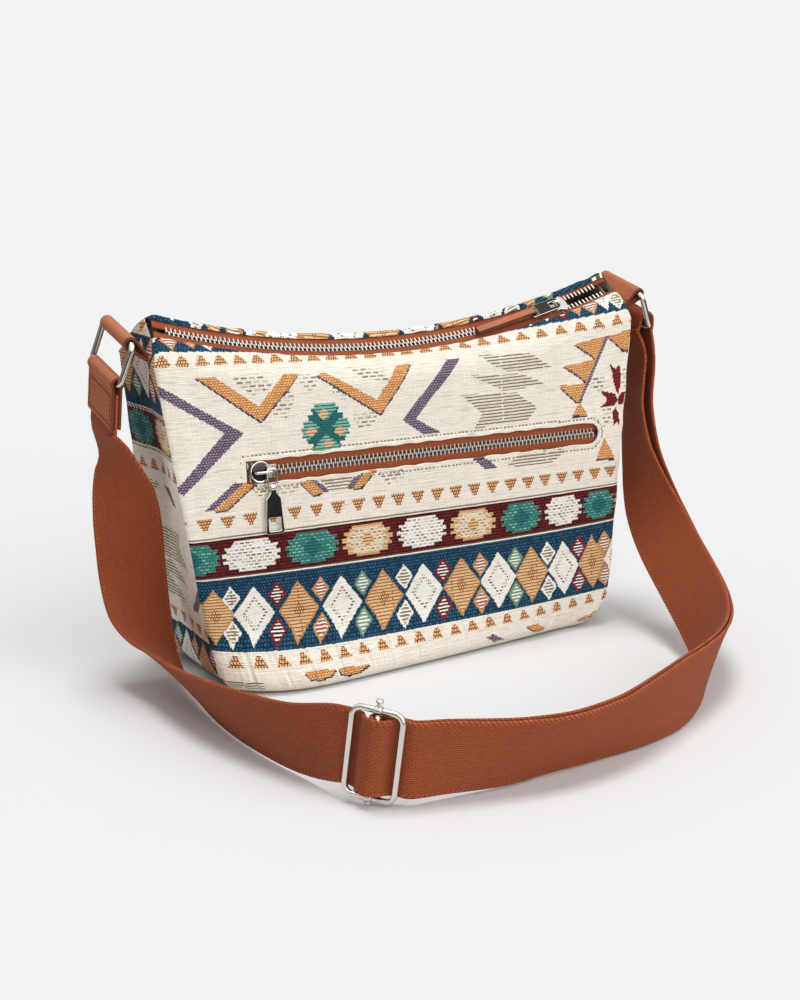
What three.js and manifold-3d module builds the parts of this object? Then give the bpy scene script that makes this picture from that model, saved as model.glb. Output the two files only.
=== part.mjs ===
// Crossbody bag of patterned jacquard: a zip-top body of sewn panels with a front zip pocket,
// and a webbing strap that runs from ring to ring through a slide adjuster.
// Millimetres, +Z up, front at -Y, origin on the floor under the middle of the base.
import * as THREE from 'three';
import Module from 'manifold-3d';
import { mergeVertices } from 'three/addons/utils/BufferGeometryUtils.js';

const wasm = await Module();
wasm.setup();

// Clearance that keeps touching pieces apart
const seat = 0.3;

// Body panels
const baseWidth = 262;
const shoulderWidth = 314;
const shoulderHeight = 190;
const baseDepth = 88;
const baseCorner = 16;
const baseSeamY = 12;
const wallLean = 0.095;
const panelThickness = 1.6;
const frontCorner = 7;
const bellyBulge = 15;
const bellyTop = 40;
const bellySkew = 1;
const endCorner = 28;
const backBulge = 7;
const gussetDent = 4;
const shoulderDrop = 15;

// Top zip: rows lie on an arc that dips towards the middle of the mouth
const mouthHalfWidth = 151;
const zipRadius = 507;
const zipLowX = -11;
const zipLowZ = 179.5;
const zipY = -10.5;
const zipTilt = THREE.MathUtils.degToRad(40);
const zipGap = 6.5;
const tapeWidth = 5.4;
const tapeThickness = 0.8;
const tapeEndInset = 4.5;
const toothPitch = 3.2;
const toothRoot = 1.55;
const toothTip = 1.1;
const toothReach = 0.5;
const toothThickness = 2.2;
const beadInner = 1.8;
const beadOuter = 2.7;
const rowParting = 2.4;
const topSliderInset = 39;

// Top slider, its link and the leather pull
const plateThickness = 1.2;
const plateClearance = 0.3;
const sliderLength = 11;
const sliderNose = 3.6;
const sliderTail = 5.4;
const bridgeHeight = 3.4;
const bridgeBar = 1.1;
const bridgeWidth = 1.6;
const linkLength = 19;
const linkHalfWidth = 4.2;
const linkThickness = 1.2;
const linkRim = 1.5;
const pullLength = 40;
const pullHalfWidth = 2.5;
const pullThickness = 1.3;

// Front pocket and its zip
const slotInsetLeft = 39.35;
const slotInsetRight = 18.35;
const slotHeight = 14.5;
const slotZ = 119.5;
const pocketTapeWidth = 9;
const pocketTapeOver = 4;
const pocketSliderInset = 11;
const pocketSliderLength = 16;
const pocketDomeRadius = 6.2;
const pocketNeck = 3.6;
const pocketBridgeHeight = 3.6;
const pocketWire = 1.4;
const pocketLinkLength = 11;
const pocketLinkWidth = 7;
const pocketPullLength = 26;
const pocketPullTop = 8.6;
const pocketPullFoot = 11;
const pocketPullThickness = 1.6;
const pocketPullWindow = 7.5;
const pocketDepth = 78;
const pocketRoom = 2.9;
const pocketCloth = 0.6;

// Lining
const liningThickness = 0.7;
const liningFrontInset = 7.2;
const liningBackInset = 3.4;
const liningRimInset = 4.4;

// Rings, tabs and strap
const strapWidth = 38;
const strapThickness = 1.8;
const leatherThickness = 1.8;
const ringWire = 3.4;
const ringInnerWidth = 40;
const ringInnerHeight = 20;
const ringCorner = 3;
const ringPlay = 0.45;
const ringTilt = THREE.MathUtils.degToRad(12);
const ringLeanLeft = THREE.MathUtils.degToRad(16);
const ringLeanRight = THREE.MathUtils.degToRad(25);
const ringLoopHalf = 5;
const ringLoopRise = 8.6;
const tabOut = 9;
const tabDrop = 2;
const tabY = -2;
const tabTail = 4.4;
const tabTailDrop = 9;
const endTabLength = 26;
const layerGap = 0.6;
const strapSpread = 4;
const strapStep = 21;

// Slide adjuster
const adjusterCentre = new THREE.Vector3(-128.6, -219.6, 25);
const adjusterAlong = new THREE.Vector3(0.646, -0.756, -0.107).normalize();
const adjusterAcross = new THREE.Vector3(0.1, -0.055, 0.993);
const adjusterWire = 3;
const adjusterInnerHeight = 40.3;
const adjusterInnerWidth = 22.2;
const adjusterCorner = 4.5;
const barWire = 2.6;
const barSleeve = 3.6;
const barSleeveWall = 0.6;
const barPlay = 0.3;
const barKnob = 1.4;
const barLoopPlay = 1.1;

// Strap route: centre line and the direction across the webbing, from the left tab to the adjuster
const leftRoute = [
  [-168.5, 4.5, 126, -0.3, 0.93, 0.12],
  [-164.5, 3, 105.5, -0.74, 0.66, 0],
  [-162, 5, 83, -0.93, 0.35, -0.08],
  [-160, 6.5, 60, -0.98, 0.19, -0.08],
  [-159, 0, 38.5, -0.99, -0.05, 0.09],
  [-159, -17, 24, -0.87, -0.17, 0.45],
  [-158.5, -38, 17.5, -0.73, -0.08, 0.68],
  [-160, -69, 16.5, -0.6, 0.03, 0.8],
  [-159.5, -104, 17.6, -0.47, 0, 0.88],
  [-155, -139, 19, -0.32, -0.05, 0.95],
  [-146, -176, 21, -0.13, -0.03, 0.99],
];
// and from the adjuster to the right ring
const rightRoute = [
  [-98, -233.5, 22, -0.04, -0.1, 0.99],
  [-65, -238, 19.4, -0.03, -0.28, 0.96],
  [-33, -238, 18.6, 0.02, -0.42, 0.91],
  [-2, -233.5, 18.8, 0.04, -0.36, 0.93],
  [28, -225, 19.4, 0.02, -0.15, 0.99],
  [57, -212.5, 19.6, 0, -0.02, 1],
  [84, -196, 19.4, 0.08, -0.1, 0.99],
  [108, -176, 19.4, 0.19, -0.23, 0.95],
  [128, -151.5, 21.4, 0.35, -0.37, 0.86],
  [142.5, -124.5, 27.5, 0.52, -0.44, 0.73],
  [152, -96.5, 38, 0.65, -0.46, 0.6],
  [158, -69.5, 53, 0.63, -0.54, 0.56],
  [163, -46, 73, 0.34, -0.74, 0.58],
  [168.5, -28.5, 98.5, -0.08, -0.85, 0.52],
  [175.5, -14.5, 126.5, -0.25, -0.88, 0.39],
  [180, -5, 156, -0.12, -0.96, 0.27],
];

// Values that follow from the sizes above
const zipCentreZ = zipLowZ + zipRadius;
const panelLift = tapeThickness / 2 + seat + panelThickness;
const slotLeanAngle = Math.atan(wallLean);
const wallFoot = -baseDepth / 2;
const mouthAngleLeft = Math.asin((-mouthHalfWidth - zipLowX) / zipRadius);
const mouthAngleRight = Math.asin((mouthHalfWidth - zipLowX) / zipRadius);
const halfWidthAt = (z) => baseWidth / 2 + ((shoulderWidth - baseWidth) / 2) * (z / shoulderHeight);
const slotLeft = slotInsetLeft - halfWidthAt(slotZ);
const slotRight = halfWidthAt(slotZ) - slotInsetRight;
const pocketSliderX = slotLeft + pocketSliderInset;
const topSliderX = mouthHalfWidth - topSliderInset;
const sideReach = Math.max(shoulderWidth / 2, mouthHalfWidth + panelThickness * 2);
const tapeInner = beadOuter + seat;
const loopRadius = ringWire / 2 + ringPlay;

const bag = new THREE.Group();
const clothLook = new THREE.MeshStandardMaterial({ color: 0xe6decb, roughness: 0.9 });
const liningLook = new THREE.MeshStandardMaterial({ color: 0xb9a58a, roughness: 0.85 });
const tapeLook = new THREE.MeshStandardMaterial({ color: 0x8c4426, roughness: 0.85 });
const webbingLook = new THREE.MeshStandardMaterial({ color: 0x93452a, roughness: 0.85 });
const leatherLook = new THREE.MeshStandardMaterial({ color: 0xa8582f, roughness: 0.6 });
const nickelLook = new THREE.MeshStandardMaterial({ color: 0xcfcac2, roughness: 0.2, metalness: 1 });

function addPiece(name, geometry, material, parent = bag) {
  const piece = new THREE.Mesh(geometry, material);
  piece.name = name;
  parent.add(piece);
  return piece;
}

// An indexed geometry whose faces point outwards
function closedGeometry(points, faces) {
  let volume = 0;
  const cross = new THREE.Vector3();
  for (const [a, b, c] of faces) volume += points[a].dot(cross.crossVectors(points[b], points[c]));
  const geometry = new THREE.BufferGeometry().setFromPoints(points);
  geometry.setIndex(faces.flatMap(([a, b, c]) => (volume < 0 ? [a, c, b] : [a, b, c])));
  return geometry;
}

// The geometry carried over by a mapping of its points, faces kept outwards
function placed(geometry, place) {
  const bare = merged(geometry);
  const position = bare.getAttribute('position');
  const points = [];
  const faces = [];
  for (let i = 0; i < position.count; i += 1) {
    points.push(place(new THREE.Vector3().fromBufferAttribute(position, i)));
  }
  for (let i = 0; i < bare.index.count; i += 3) faces.push([0, 1, 2].map((k) => bare.index.getX(i + k)));
  return closedGeometry(points, faces);
}

function merged(geometry) {
  const bare = geometry.clone();
  for (const name of Object.keys(bare.attributes)) if (name !== 'position') bare.deleteAttribute(name);
  return mergeVertices(bare, 1e-4);
}

function toSolid(geometry) {
  const bare = merged(geometry);
  const mesh = new wasm.Mesh({
    numProp: 3,
    vertProperties: new Float32Array(bare.getAttribute('position').array),
    triVerts: new Uint32Array(bare.index.array),
  });
  return new wasm.Manifold(mesh);
}

function toGeometry(solid) {
  const mesh = solid.getMesh();
  const geometry = new THREE.BufferGeometry();
  geometry.setAttribute('position', new THREE.BufferAttribute(new Float32Array(mesh.vertProperties), 3));
  geometry.setIndex(new THREE.BufferAttribute(new Uint32Array(mesh.triVerts), 1));
  return geometry;
}

function joined(geometries) {
  return toGeometry(geometries.map(toSolid).reduce((sum, solid) => sum.add(solid)));
}

function cutBy(geometry, cutters) {
  return toGeometry(cutters.map(toSolid).reduce((rest, cutter) => rest.subtract(cutter), toSolid(geometry)));
}

// A sheet between two grids of points, outer and inner, closed round its border
function sheetBetween(outer, inner) {
  const rows = outer.length;
  const columns = outer[0].length;
  const points = [...outer.flat(), ...inner.flat()];
  const at = (side, i, j) => side * rows * columns + i * columns + j;
  const faces = [];
  const quad = (a, b, c, d) => faces.push([a, b, c], [a, c, d]);
  for (let i = 0; i + 1 < rows; i += 1) {
    for (let j = 0; j + 1 < columns; j += 1) {
      quad(at(0, i, j), at(0, i + 1, j), at(0, i + 1, j + 1), at(0, i, j + 1));
      quad(at(1, i, j), at(1, i, j + 1), at(1, i + 1, j + 1), at(1, i + 1, j));
    }
    quad(at(0, i, 0), at(1, i, 0), at(1, i + 1, 0), at(0, i + 1, 0));
    quad(at(0, i + 1, columns - 1), at(1, i + 1, columns - 1), at(1, i, columns - 1), at(0, i, columns - 1));
  }
  for (let j = 0; j + 1 < columns; j += 1) {
    quad(at(0, 0, j + 1), at(1, 0, j + 1), at(1, 0, j), at(0, 0, j));
    quad(at(0, rows - 1, j), at(1, rows - 1, j), at(1, rows - 1, j + 1), at(0, rows - 1, j + 1));
  }
  return closedGeometry(points, faces);
}

// A tube through a list of rings, with flat ends or joined end to end
function tubeThrough(rings, endless = false) {
  const count = rings.length;
  const sides = rings[0].length;
  const at = (i, k) => (i % count) * sides + (k % sides);
  const faces = [];
  for (let i = 0; i < (endless ? count : count - 1); i += 1) {
    for (let k = 0; k < sides; k += 1) {
      faces.push([at(i, k), at(i + 1, k), at(i + 1, k + 1)], [at(i, k), at(i + 1, k + 1), at(i, k + 1)]);
    }
  }
  if (!endless) {
    for (let k = 1; k + 1 < sides; k += 1) {
      const last = count - 1;
      faces.push([at(0, 0), at(0, k), at(0, k + 1)], [at(last, 0), at(last, k + 1), at(last, k)]);
    }
  }
  return closedGeometry(rings.flat(), faces);
}

// A wire bent round a rounded rectangle that lies in the XY plane
function wireFrame(width, height, corner, radius, sides, turns = 3) {
  const rings = [];
  for (let quarter = 0; quarter < 4; quarter += 1) {
    const sx = quarter === 0 || quarter === 3 ? 1 : -1;
    const sy = quarter < 2 ? 1 : -1;
    for (let k = 0; k <= turns; k += 1) {
      const angle = (quarter + k / turns) * (Math.PI / 2);
      const outward = new THREE.Vector3(Math.cos(angle), Math.sin(angle), 0);
      const point = new THREE.Vector3(sx * (width / 2 - corner), sy * (height / 2 - corner), 0);
      point.addScaledVector(outward, corner);
      rings.push(
        Array.from({ length: sides }, (_, j) => {
          const turn = ((j + 0.5) / sides) * Math.PI * 2;
          const ring = point.clone().addScaledVector(outward, radius * Math.cos(turn));
          ring.z += radius * Math.sin(turn);
          return ring;
        }),
      );
    }
  }
  return tubeThrough(rings, true);
}

function roundedOutline(halfX, halfY, corner) {
  const shape = new THREE.Shape();
  shape.moveTo(-halfX + corner, -halfY);
  shape.lineTo(halfX - corner, -halfY);
  shape.absarc(halfX - corner, -halfY + corner, corner, -Math.PI / 2, 0);
  shape.lineTo(halfX, halfY - corner);
  shape.absarc(halfX - corner, halfY - corner, corner, 0, Math.PI / 2);
  shape.lineTo(-halfX + corner, halfY);
  shape.absarc(-halfX + corner, halfY - corner, corner, Math.PI / 2, Math.PI);
  shape.lineTo(-halfX, -halfY + corner);
  shape.absarc(-halfX + corner, -halfY + corner, corner, Math.PI, Math.PI * 1.5);
  return shape;
}

function outlineOf(points) {
  return new THREE.Shape(points.map(([x, y]) => new THREE.Vector2(x, y)));
}

function slab(shape, low, high, curveSegments = 4) {
  const depth = high - low;
  const geometry = new THREE.ExtrudeGeometry(shape, { depth, bevelEnabled: false, curveSegments });
  return merged(geometry.translate(0, 0, low));
}

// A point of the zip's tilted strip: turn along the arc, offset across the rows and offset off their plane
function zipPoint(turn, across, off) {
  const rise = across * Math.sin(zipTilt) + off * Math.cos(zipTilt);
  const y = zipY + across * Math.cos(zipTilt) - off * Math.sin(zipTilt);
  const radius = zipRadius - rise;
  return new THREE.Vector3(zipLowX + radius * Math.sin(turn), y, zipCentreZ - radius * Math.cos(turn));
}

const zipTurnAt = (x) => Math.asin((x - zipLowX) / zipRadius);
const zipAlong = (x) => (travel, across, off) => zipPoint(zipTurnAt(x) + travel / zipRadius, across, off);

const wallAt = (z) => wallFoot + wallLean * (z - baseCorner);
const wallY = (z, front) => (front ? wallAt(z) : -wallAt(z));
// How far the front swells forwards, most at its foot, and the back in its middle
const belly = (u, z, front) => {
  if (front) {
    const fade = z < bellyTop ? Math.cos((Math.PI * z) / (bellyTop * 2)) ** 2 : 0;
    return bellyBulge * (1 - u ** 6) * (1 - bellySkew * u) * fade;
  }
  const height = shoulderHeight - shoulderDrop * 2;
  return z < height ? backBulge * (1 - u * u) * Math.sin((Math.PI * z) / height) ** 2 : 0;
};
// Half width of the panels, rounded at their lower corners
const sideAt = (z) => {
  const short = Math.max(endCorner - z, 0);
  return halfWidthAt(z) - endCorner + Math.sqrt(endCorner ** 2 - short ** 2);
};

const baseSteps = 2;
const cornerSteps = 3;
const wallSteps = 6;
const curlSteps = 3;

// Profile of the front or back panel at one place across the bag, from the base seam to the zip;
// fullness 0 leaves out the belly
function panelProfile(u, front, fullness = 1) {
  const side = front ? -1 : 1;
  const turn = THREE.MathUtils.mapLinear(u, -1, 1, mouthAngleLeft, mouthAngleRight);
  const lap = tapeInner + tapeWidth + seat * 4;
  const edge = zipPoint(turn, side * zipGap, panelLift);
  const lapStart = zipPoint(turn, side * lap, panelLift);
  const wallTop = lapStart.z - shoulderDrop - (front ? 0 : shoulderDrop / 2);
  const corner = front && fullness > 0 ? frontCorner : baseCorner;
  const points = [];
  const place = (y, z) => points.push(new THREE.Vector3(u * sideAt(z), y, z));
  for (let k = 0; k < baseSteps; k += 1) {
    const seam = baseSeamY + (side * seat) / 2;
    const fold = side * (baseDepth / 2 - corner + fullness * belly(u, 0, front));
    place(THREE.MathUtils.lerp(seam, fold, k / baseSteps), 0);
  }
  const cornerEnd = Math.PI / 2 - slotLeanAngle;
  for (let k = 0; k <= cornerSteps; k += 1) {
    const angle = (cornerEnd * k) / cornerSteps;
    const flare = (baseCorner - corner) * wallLean * (k / cornerSteps);
    const bend = baseDepth / 2 - corner + corner * Math.sin(angle) + flare;
    const z = corner * (1 - Math.cos(angle));
    place(side * (bend + fullness * belly(u, z, front)), z);
  }
  const wallStart = corner * (1 - Math.cos(cornerEnd));
  for (let k = 1; k <= wallSteps; k += 1) {
    const z = THREE.MathUtils.lerp(wallStart, wallTop, (k / wallSteps) ** 1.35);
    place(wallY(z, front) + side * fullness * belly(u, z, front), z);
  }
  const low = points[points.length - 1].clone();
  const crest = new THREE.Vector3(
    (low.x + lapStart.x) / 2,
    front ? wallY(wallTop + shoulderDrop * 0.6, front) : lapStart.y + tapeWidth,
    front ? wallTop + shoulderDrop * 0.6 : lapStart.z + tapeThickness,
  );
  const curl = new THREE.QuadraticBezierCurve3(low, crest, lapStart);
  for (let k = 1; k <= curlSteps; k += 1) points.push(curl.getPoint(k / curlSteps));
  points.push(edge);
  return points;
}

function gridNormals(grid, outwardHint) {
  return grid.map((column, i) =>
    column.map((_, j) => {
      const du = grid[Math.min(i + 1, grid.length - 1)][j].clone().sub(grid[Math.max(i - 1, 0)][j]);
      const dv = column[Math.min(j + 1, column.length - 1)].clone().sub(column[Math.max(j - 1, 0)]);
      const normal = du.cross(dv).normalize();
      return outwardHint < 0 ? normal.negate() : normal;
    }),
  );
}

const offsetGrid = (grid, normals, depth) =>
  grid.map((column, i) => column.map((point, j) => point.clone().addScaledVector(normals[i][j], -depth)));

const acrossSteps = 10;
const acrossPlaces = Array.from({ length: acrossSteps + 1 }, (_, i) => -1 + (2 * i) / acrossSteps);
const frontGrid = acrossPlaces.map((u) => panelProfile(u, true));
const backGrid = acrossPlaces.map((u) => panelProfile(u, false));
const frontNormals = gridNormals(frontGrid, 1);
const backNormals = gridNormals(backGrid, -1);

// Pocket frame on the front wall: X along the bag, Y up the wall, Z off it
const pocket = new THREE.Group();
pocket.position.set(0, wallAt(slotZ), slotZ);
pocket.rotation.x = Math.PI / 2 - slotLeanAngle;
pocket.updateMatrix();
bag.add(pocket);

function slotOutline(spare) {
  const half = slotHeight / 2 + spare;
  const shape = new THREE.Shape();
  shape.moveTo(slotLeft - spare, -half);
  shape.lineTo(slotRight + spare - half, -half);
  shape.absarc(slotRight + spare - half, 0, half, -Math.PI / 2, Math.PI / 2);
  shape.lineTo(slotLeft - spare, half);
  return shape;
}

function makePanels() {
  const front = sheetBetween(frontGrid, offsetGrid(frontGrid, frontNormals, panelThickness));
  const slot = slab(slotOutline(0), -panelThickness * 3, panelThickness * 3, 5).applyMatrix4(pocket.matrix);
  addPiece('front_panel', cutBy(front, [slot]), clothLook);
  const back = sheetBetween(backGrid, offsetGrid(backGrid, backNormals, panelThickness));
  addPiece('back_panel', back, clothLook);
}

// Side gusset set between the two panels, dented inwards along its middle
function makeGusset(name, end) {
  const i = end < 0 ? 0 : acrossSteps;
  const top = frontGrid[i].length - 2;
  const edgeAt = (grid, normals, j) => {
    const depth = panelThickness + seat * (j < top ? 3 : 5);
    return grid[i][j].clone().addScaledVector(normals[i][j], -depth);
  };
  const columns = 4;
  const rows = [];
  for (let j = baseSteps; j <= top; j += 1) {
    const hollow = gussetDent * Math.sin((Math.PI * (j - baseSteps)) / (top - baseSteps));
    const frontEdge = edgeAt(frontGrid, frontNormals, j);
    const backEdge = edgeAt(backGrid, backNormals, j);
    rows.push(
      Array.from({ length: columns + 1 }, (_, k) => {
        const share = k / columns;
        const point = frontEdge.clone().lerp(backEdge, share);
        point.x -= end * hollow * Math.sin(Math.PI * share) ** 2;
        return point;
      }),
    );
  }
  const inner = offsetGrid(rows, gridNormals(rows, -end), panelThickness);
  addPiece(name, sheetBetween(rows, inner), clothLook);
}

// Open-topped lining that follows the panels inside
function makeLining() {
  const places = Array.from({ length: 7 }, (_, i) => -1 + i / 3);
  const rim = baseSteps + cornerSteps + wallSteps + curlSteps;
  const levels = [baseSteps, baseSteps + 1, baseSteps + cornerSteps];
  for (let k = 2; k <= wallSteps; k += 2) levels.push(baseSteps + cornerSteps + k);
  levels.push(rim - 1);
  const ringsAt = (extra) => {
    const grids = [true, false].map((front) => {
      const grid = places.map((u) => panelProfile(u, front, 0));
      const normals = gridNormals(grid, front ? 1 : -1);
      return places.map((u, i) =>
        levels.map((j) => {
          const wallInset = front ? liningFrontInset : liningBackInset;
          const inset = j < rim - 1 ? wallInset : liningRimInset;
          const point = grid[i][j].clone().addScaledVector(normals[i][j], -inset - extra);
          const foot = j <= baseSteps + cornerSteps ? endCorner / 3 : 0;
          const wall = panelThickness + gussetDent + seat * 3 + foot + extra;
          point.x *= 1 - wall / halfWidthAt(point.z);
          return point;
        }),
      );
    });
    return levels.map((_, l) => [
      ...grids[0].map((column) => column[l]),
      ...grids[1].map((column) => column[l]).reverse(),
    ]);
  };
  const outer = ringsAt(0);
  const inner = ringsAt(liningThickness);
  const count = outer[0].length;
  const rings = [...outer].reverse().concat(inner);
  const points = rings.flat();
  const at = (i, k) => i * count + (k % count);
  const faces = [];
  const floorAfter = outer.length - 1;
  for (let i = 0; i + 1 < rings.length; i += 1) {
    if (i === floorAfter) continue;
    for (let k = 0; k < count; k += 1) {
      const [a, b, c, d] = [at(i, k), at(i + 1, k), at(i + 1, k + 1), at(i, k + 1)];
      if (i < floorAfter) faces.push([a, b, c], [a, c, d]);
      else faces.push([a, b, d], [b, c, d]);
    }
  }
  const lastRing = rings.length - 1;
  for (let k = 0; k < count; k += 1) {
    faces.push([at(lastRing, k), at(0, k), at(0, k + 1)]);
    faces.push([at(lastRing, k), at(0, k + 1), at(lastRing, k + 1)]);
  }
  const half = count / 2;
  for (let k = 0; k + 1 < half; k += 1) {
    const mirrored = count - 1 - k;
    const outerRow = floorAfter;
    faces.push([at(outerRow, k + 1), at(outerRow, k), at(outerRow, mirrored)]);
    faces.push([at(outerRow, k + 1), at(outerRow, mirrored), at(outerRow, mirrored - 1)]);
    const innerRow = floorAfter + 1;
    faces.push([at(innerRow, k), at(innerRow, k + 1), at(innerRow, mirrored - 1)]);
    faces.push([at(innerRow, k), at(innerRow, mirrored - 1), at(innerRow, mirrored)]);
  }
  addPiece('lining', closedGeometry(points, faces), liningLook);
}

// How far the tooth rows stand apart past the slider, from meshed to parted
function partingAt(distance) {
  return rowParting * THREE.MathUtils.smoothstep(distance, -sliderLength / 2, sliderLength / 5);
}

// Places along a zip, close together where the rows part
function zipPlaces(from, to, sliderAt, opening) {
  const places = [];
  const steps = Math.ceil((to - from) / 20);
  const near = (x) => Math.abs(x - sliderAt) < sliderLength * 0.6;
  for (let k = 0; k <= steps; k += 1) {
    const x = THREE.MathUtils.lerp(from, to, k / steps);
    if (k === 0 || k === steps || !near(x)) places.push(x);
  }
  for (let k = 0; k <= 4; k += 1) {
    places.push(sliderAt + opening * sliderLength * THREE.MathUtils.lerp(-0.5, 0.2, k / 4));
  }
  return places.sort((a, b) => a - b);
}

// One row of a zip: teeth clamped on a corded bead, as a comb laid flat and bent by place()
function toothRow(from, to, shift, side, zip) {
  const { parting, place, low } = zip;
  const flat = [];
  const put = (x, offset) => flat.push([x, side * (offset - parting(x))]) - 1;
  const edge = [put(from, -beadInner)];
  const rim = [...edge];
  const caps = [];
  const teeth = Math.floor((to - from - shift) / toothPitch);
  for (let k = 0; k < teeth; k += 1) {
    const x = from + shift + (k + 0.5) * toothPitch;
    const apart = side * parting(x);
    const corner = (dx, offset) => flat.push([x + dx, side * offset - apart]) - 1;
    const a = corner(-toothRoot / 2, -beadInner);
    const b = corner(-toothTip / 2, toothReach);
    const c = corner(toothTip / 2, toothReach);
    const d = corner(toothRoot / 2, -beadInner);
    caps.push([a, b, c], [a, c, d]);
    edge.push(a, d);
    rim.push(a, b, c, d);
  }
  edge.push(put(to, -beadInner));
  const back = zipPlaces(from, to, zip.sliderAt, zip.opening).map((x) => put(x, -beadOuter));
  rim.push(edge[edge.length - 1], ...[...back].reverse());
  let i = 0;
  let j = 0;
  while (i + 1 < edge.length || j + 1 < back.length) {
    const backDone = j + 1 === back.length;
    const onEdge = backDone || (i + 1 < edge.length && flat[edge[i + 1]][0] <= flat[back[j + 1]][0]);
    caps.push([edge[i], onEdge ? edge[i + 1] : back[j + 1], back[j]]);
    if (onEdge) i += 1;
    else j += 1;
  }
  const count = flat.length;
  const faces = caps.flatMap(([a, b, c]) => [[a, b, c], [a + count, c + count, b + count]]);
  rim.forEach((a, k) => {
    const b = rim[(k + 1) % rim.length];
    faces.push([b, a, a + count], [b, a + count, b + count]);
  });
  const level = (off) => flat.map(([x, y]) => place(new THREE.Vector3(x, y, low + off)));
  return closedGeometry([...level(toothThickness / 2), ...level(-toothThickness / 2)], faces);
}

// One zip tape, from its toothed edge outwards
function tapeStrip(from, to, side, width, zip) {
  const corner = (x, edge, off) => zip.place(new THREE.Vector3(x, edge, zip.low + off));
  const rings = zipPlaces(from, to, zip.sliderAt, zip.opening).map((x) => {
    const inner = side * (tapeInner + zip.parting(x));
    const outer = side * (tapeInner + width);
    const half = tapeThickness / 2;
    return [corner(x, inner, -half), corner(x, outer, -half), corner(x, outer, half), corner(x, inner, half)];
  });
  return tubeThrough(rings);
}

function makeTopZip() {
  const along = (x) => (zipTurnAt(x) - zipTurnAt(0)) * zipRadius;
  const sliderAt = along(topSliderX);
  const zip = {
    sliderAt,
    opening: 1,
    low: 0,
    parting: (x) => partingAt(x - sliderAt),
    place: (p) => zipAlong(0)(p.x, p.y, p.z),
  };
  const from = along(tapeEndInset - mouthHalfWidth);
  const to = along(mouthHalfWidth - tapeEndInset);
  for (const [label, side] of [['front', -1], ['back', 1]]) {
    addPiece(`top_zip_tape_${label}`, tapeStrip(from, to, side, tapeWidth, zip), tapeLook);
    const shift = side > 0 ? 0 : toothPitch / 2;
    const row = toothRow(from + toothPitch, to - toothPitch, shift, -side, zip);
    addPiece(`top_zip_teeth_${label}`, row, nickelLook);
  }
}

// Plate of a zip slider: broad where the rows part, narrow where they mesh
function sliderPlate(length, nose, tail, low, high) {
  const shape = new THREE.Shape();
  shape.moveTo(-length / 2, -nose + 1);
  shape.quadraticCurveTo(-length / 2, -nose, -length / 2 + 1, -nose);
  shape.lineTo(0, -nose - 0.3);
  shape.lineTo(length / 2 - 3, -tail);
  shape.quadraticCurveTo(length / 2, -tail, length / 2, 0);
  shape.quadraticCurveTo(length / 2, tail, length / 2 - 3, tail);
  shape.lineTo(0, nose + 0.3);
  shape.lineTo(-length / 2 + 1, nose);
  shape.quadraticCurveTo(-length / 2, nose, -length / 2, nose - 1);
  return slab(shape, low, high, 3);
}

// Arch over a slider plate that holds the pull: a bar on two legs
function bridgeArch(from, to, floor, height, bar, width) {
  const outline = outlineOf([
    [from, floor],
    [from, floor + height],
    [from + bar, floor + height + bar],
    [to - bar, floor + height + bar],
    [to, floor + height],
    [to, floor],
    [to - bar, floor],
    [to - bar, floor + height - bar * 0.3],
    [from + bar, floor + height - bar * 0.3],
    [from + bar, floor],
  ]);
  return placed(slab(outline, -width / 2, width / 2), (p) => new THREE.Vector3(p.x, -p.z, p.y));
}

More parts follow.
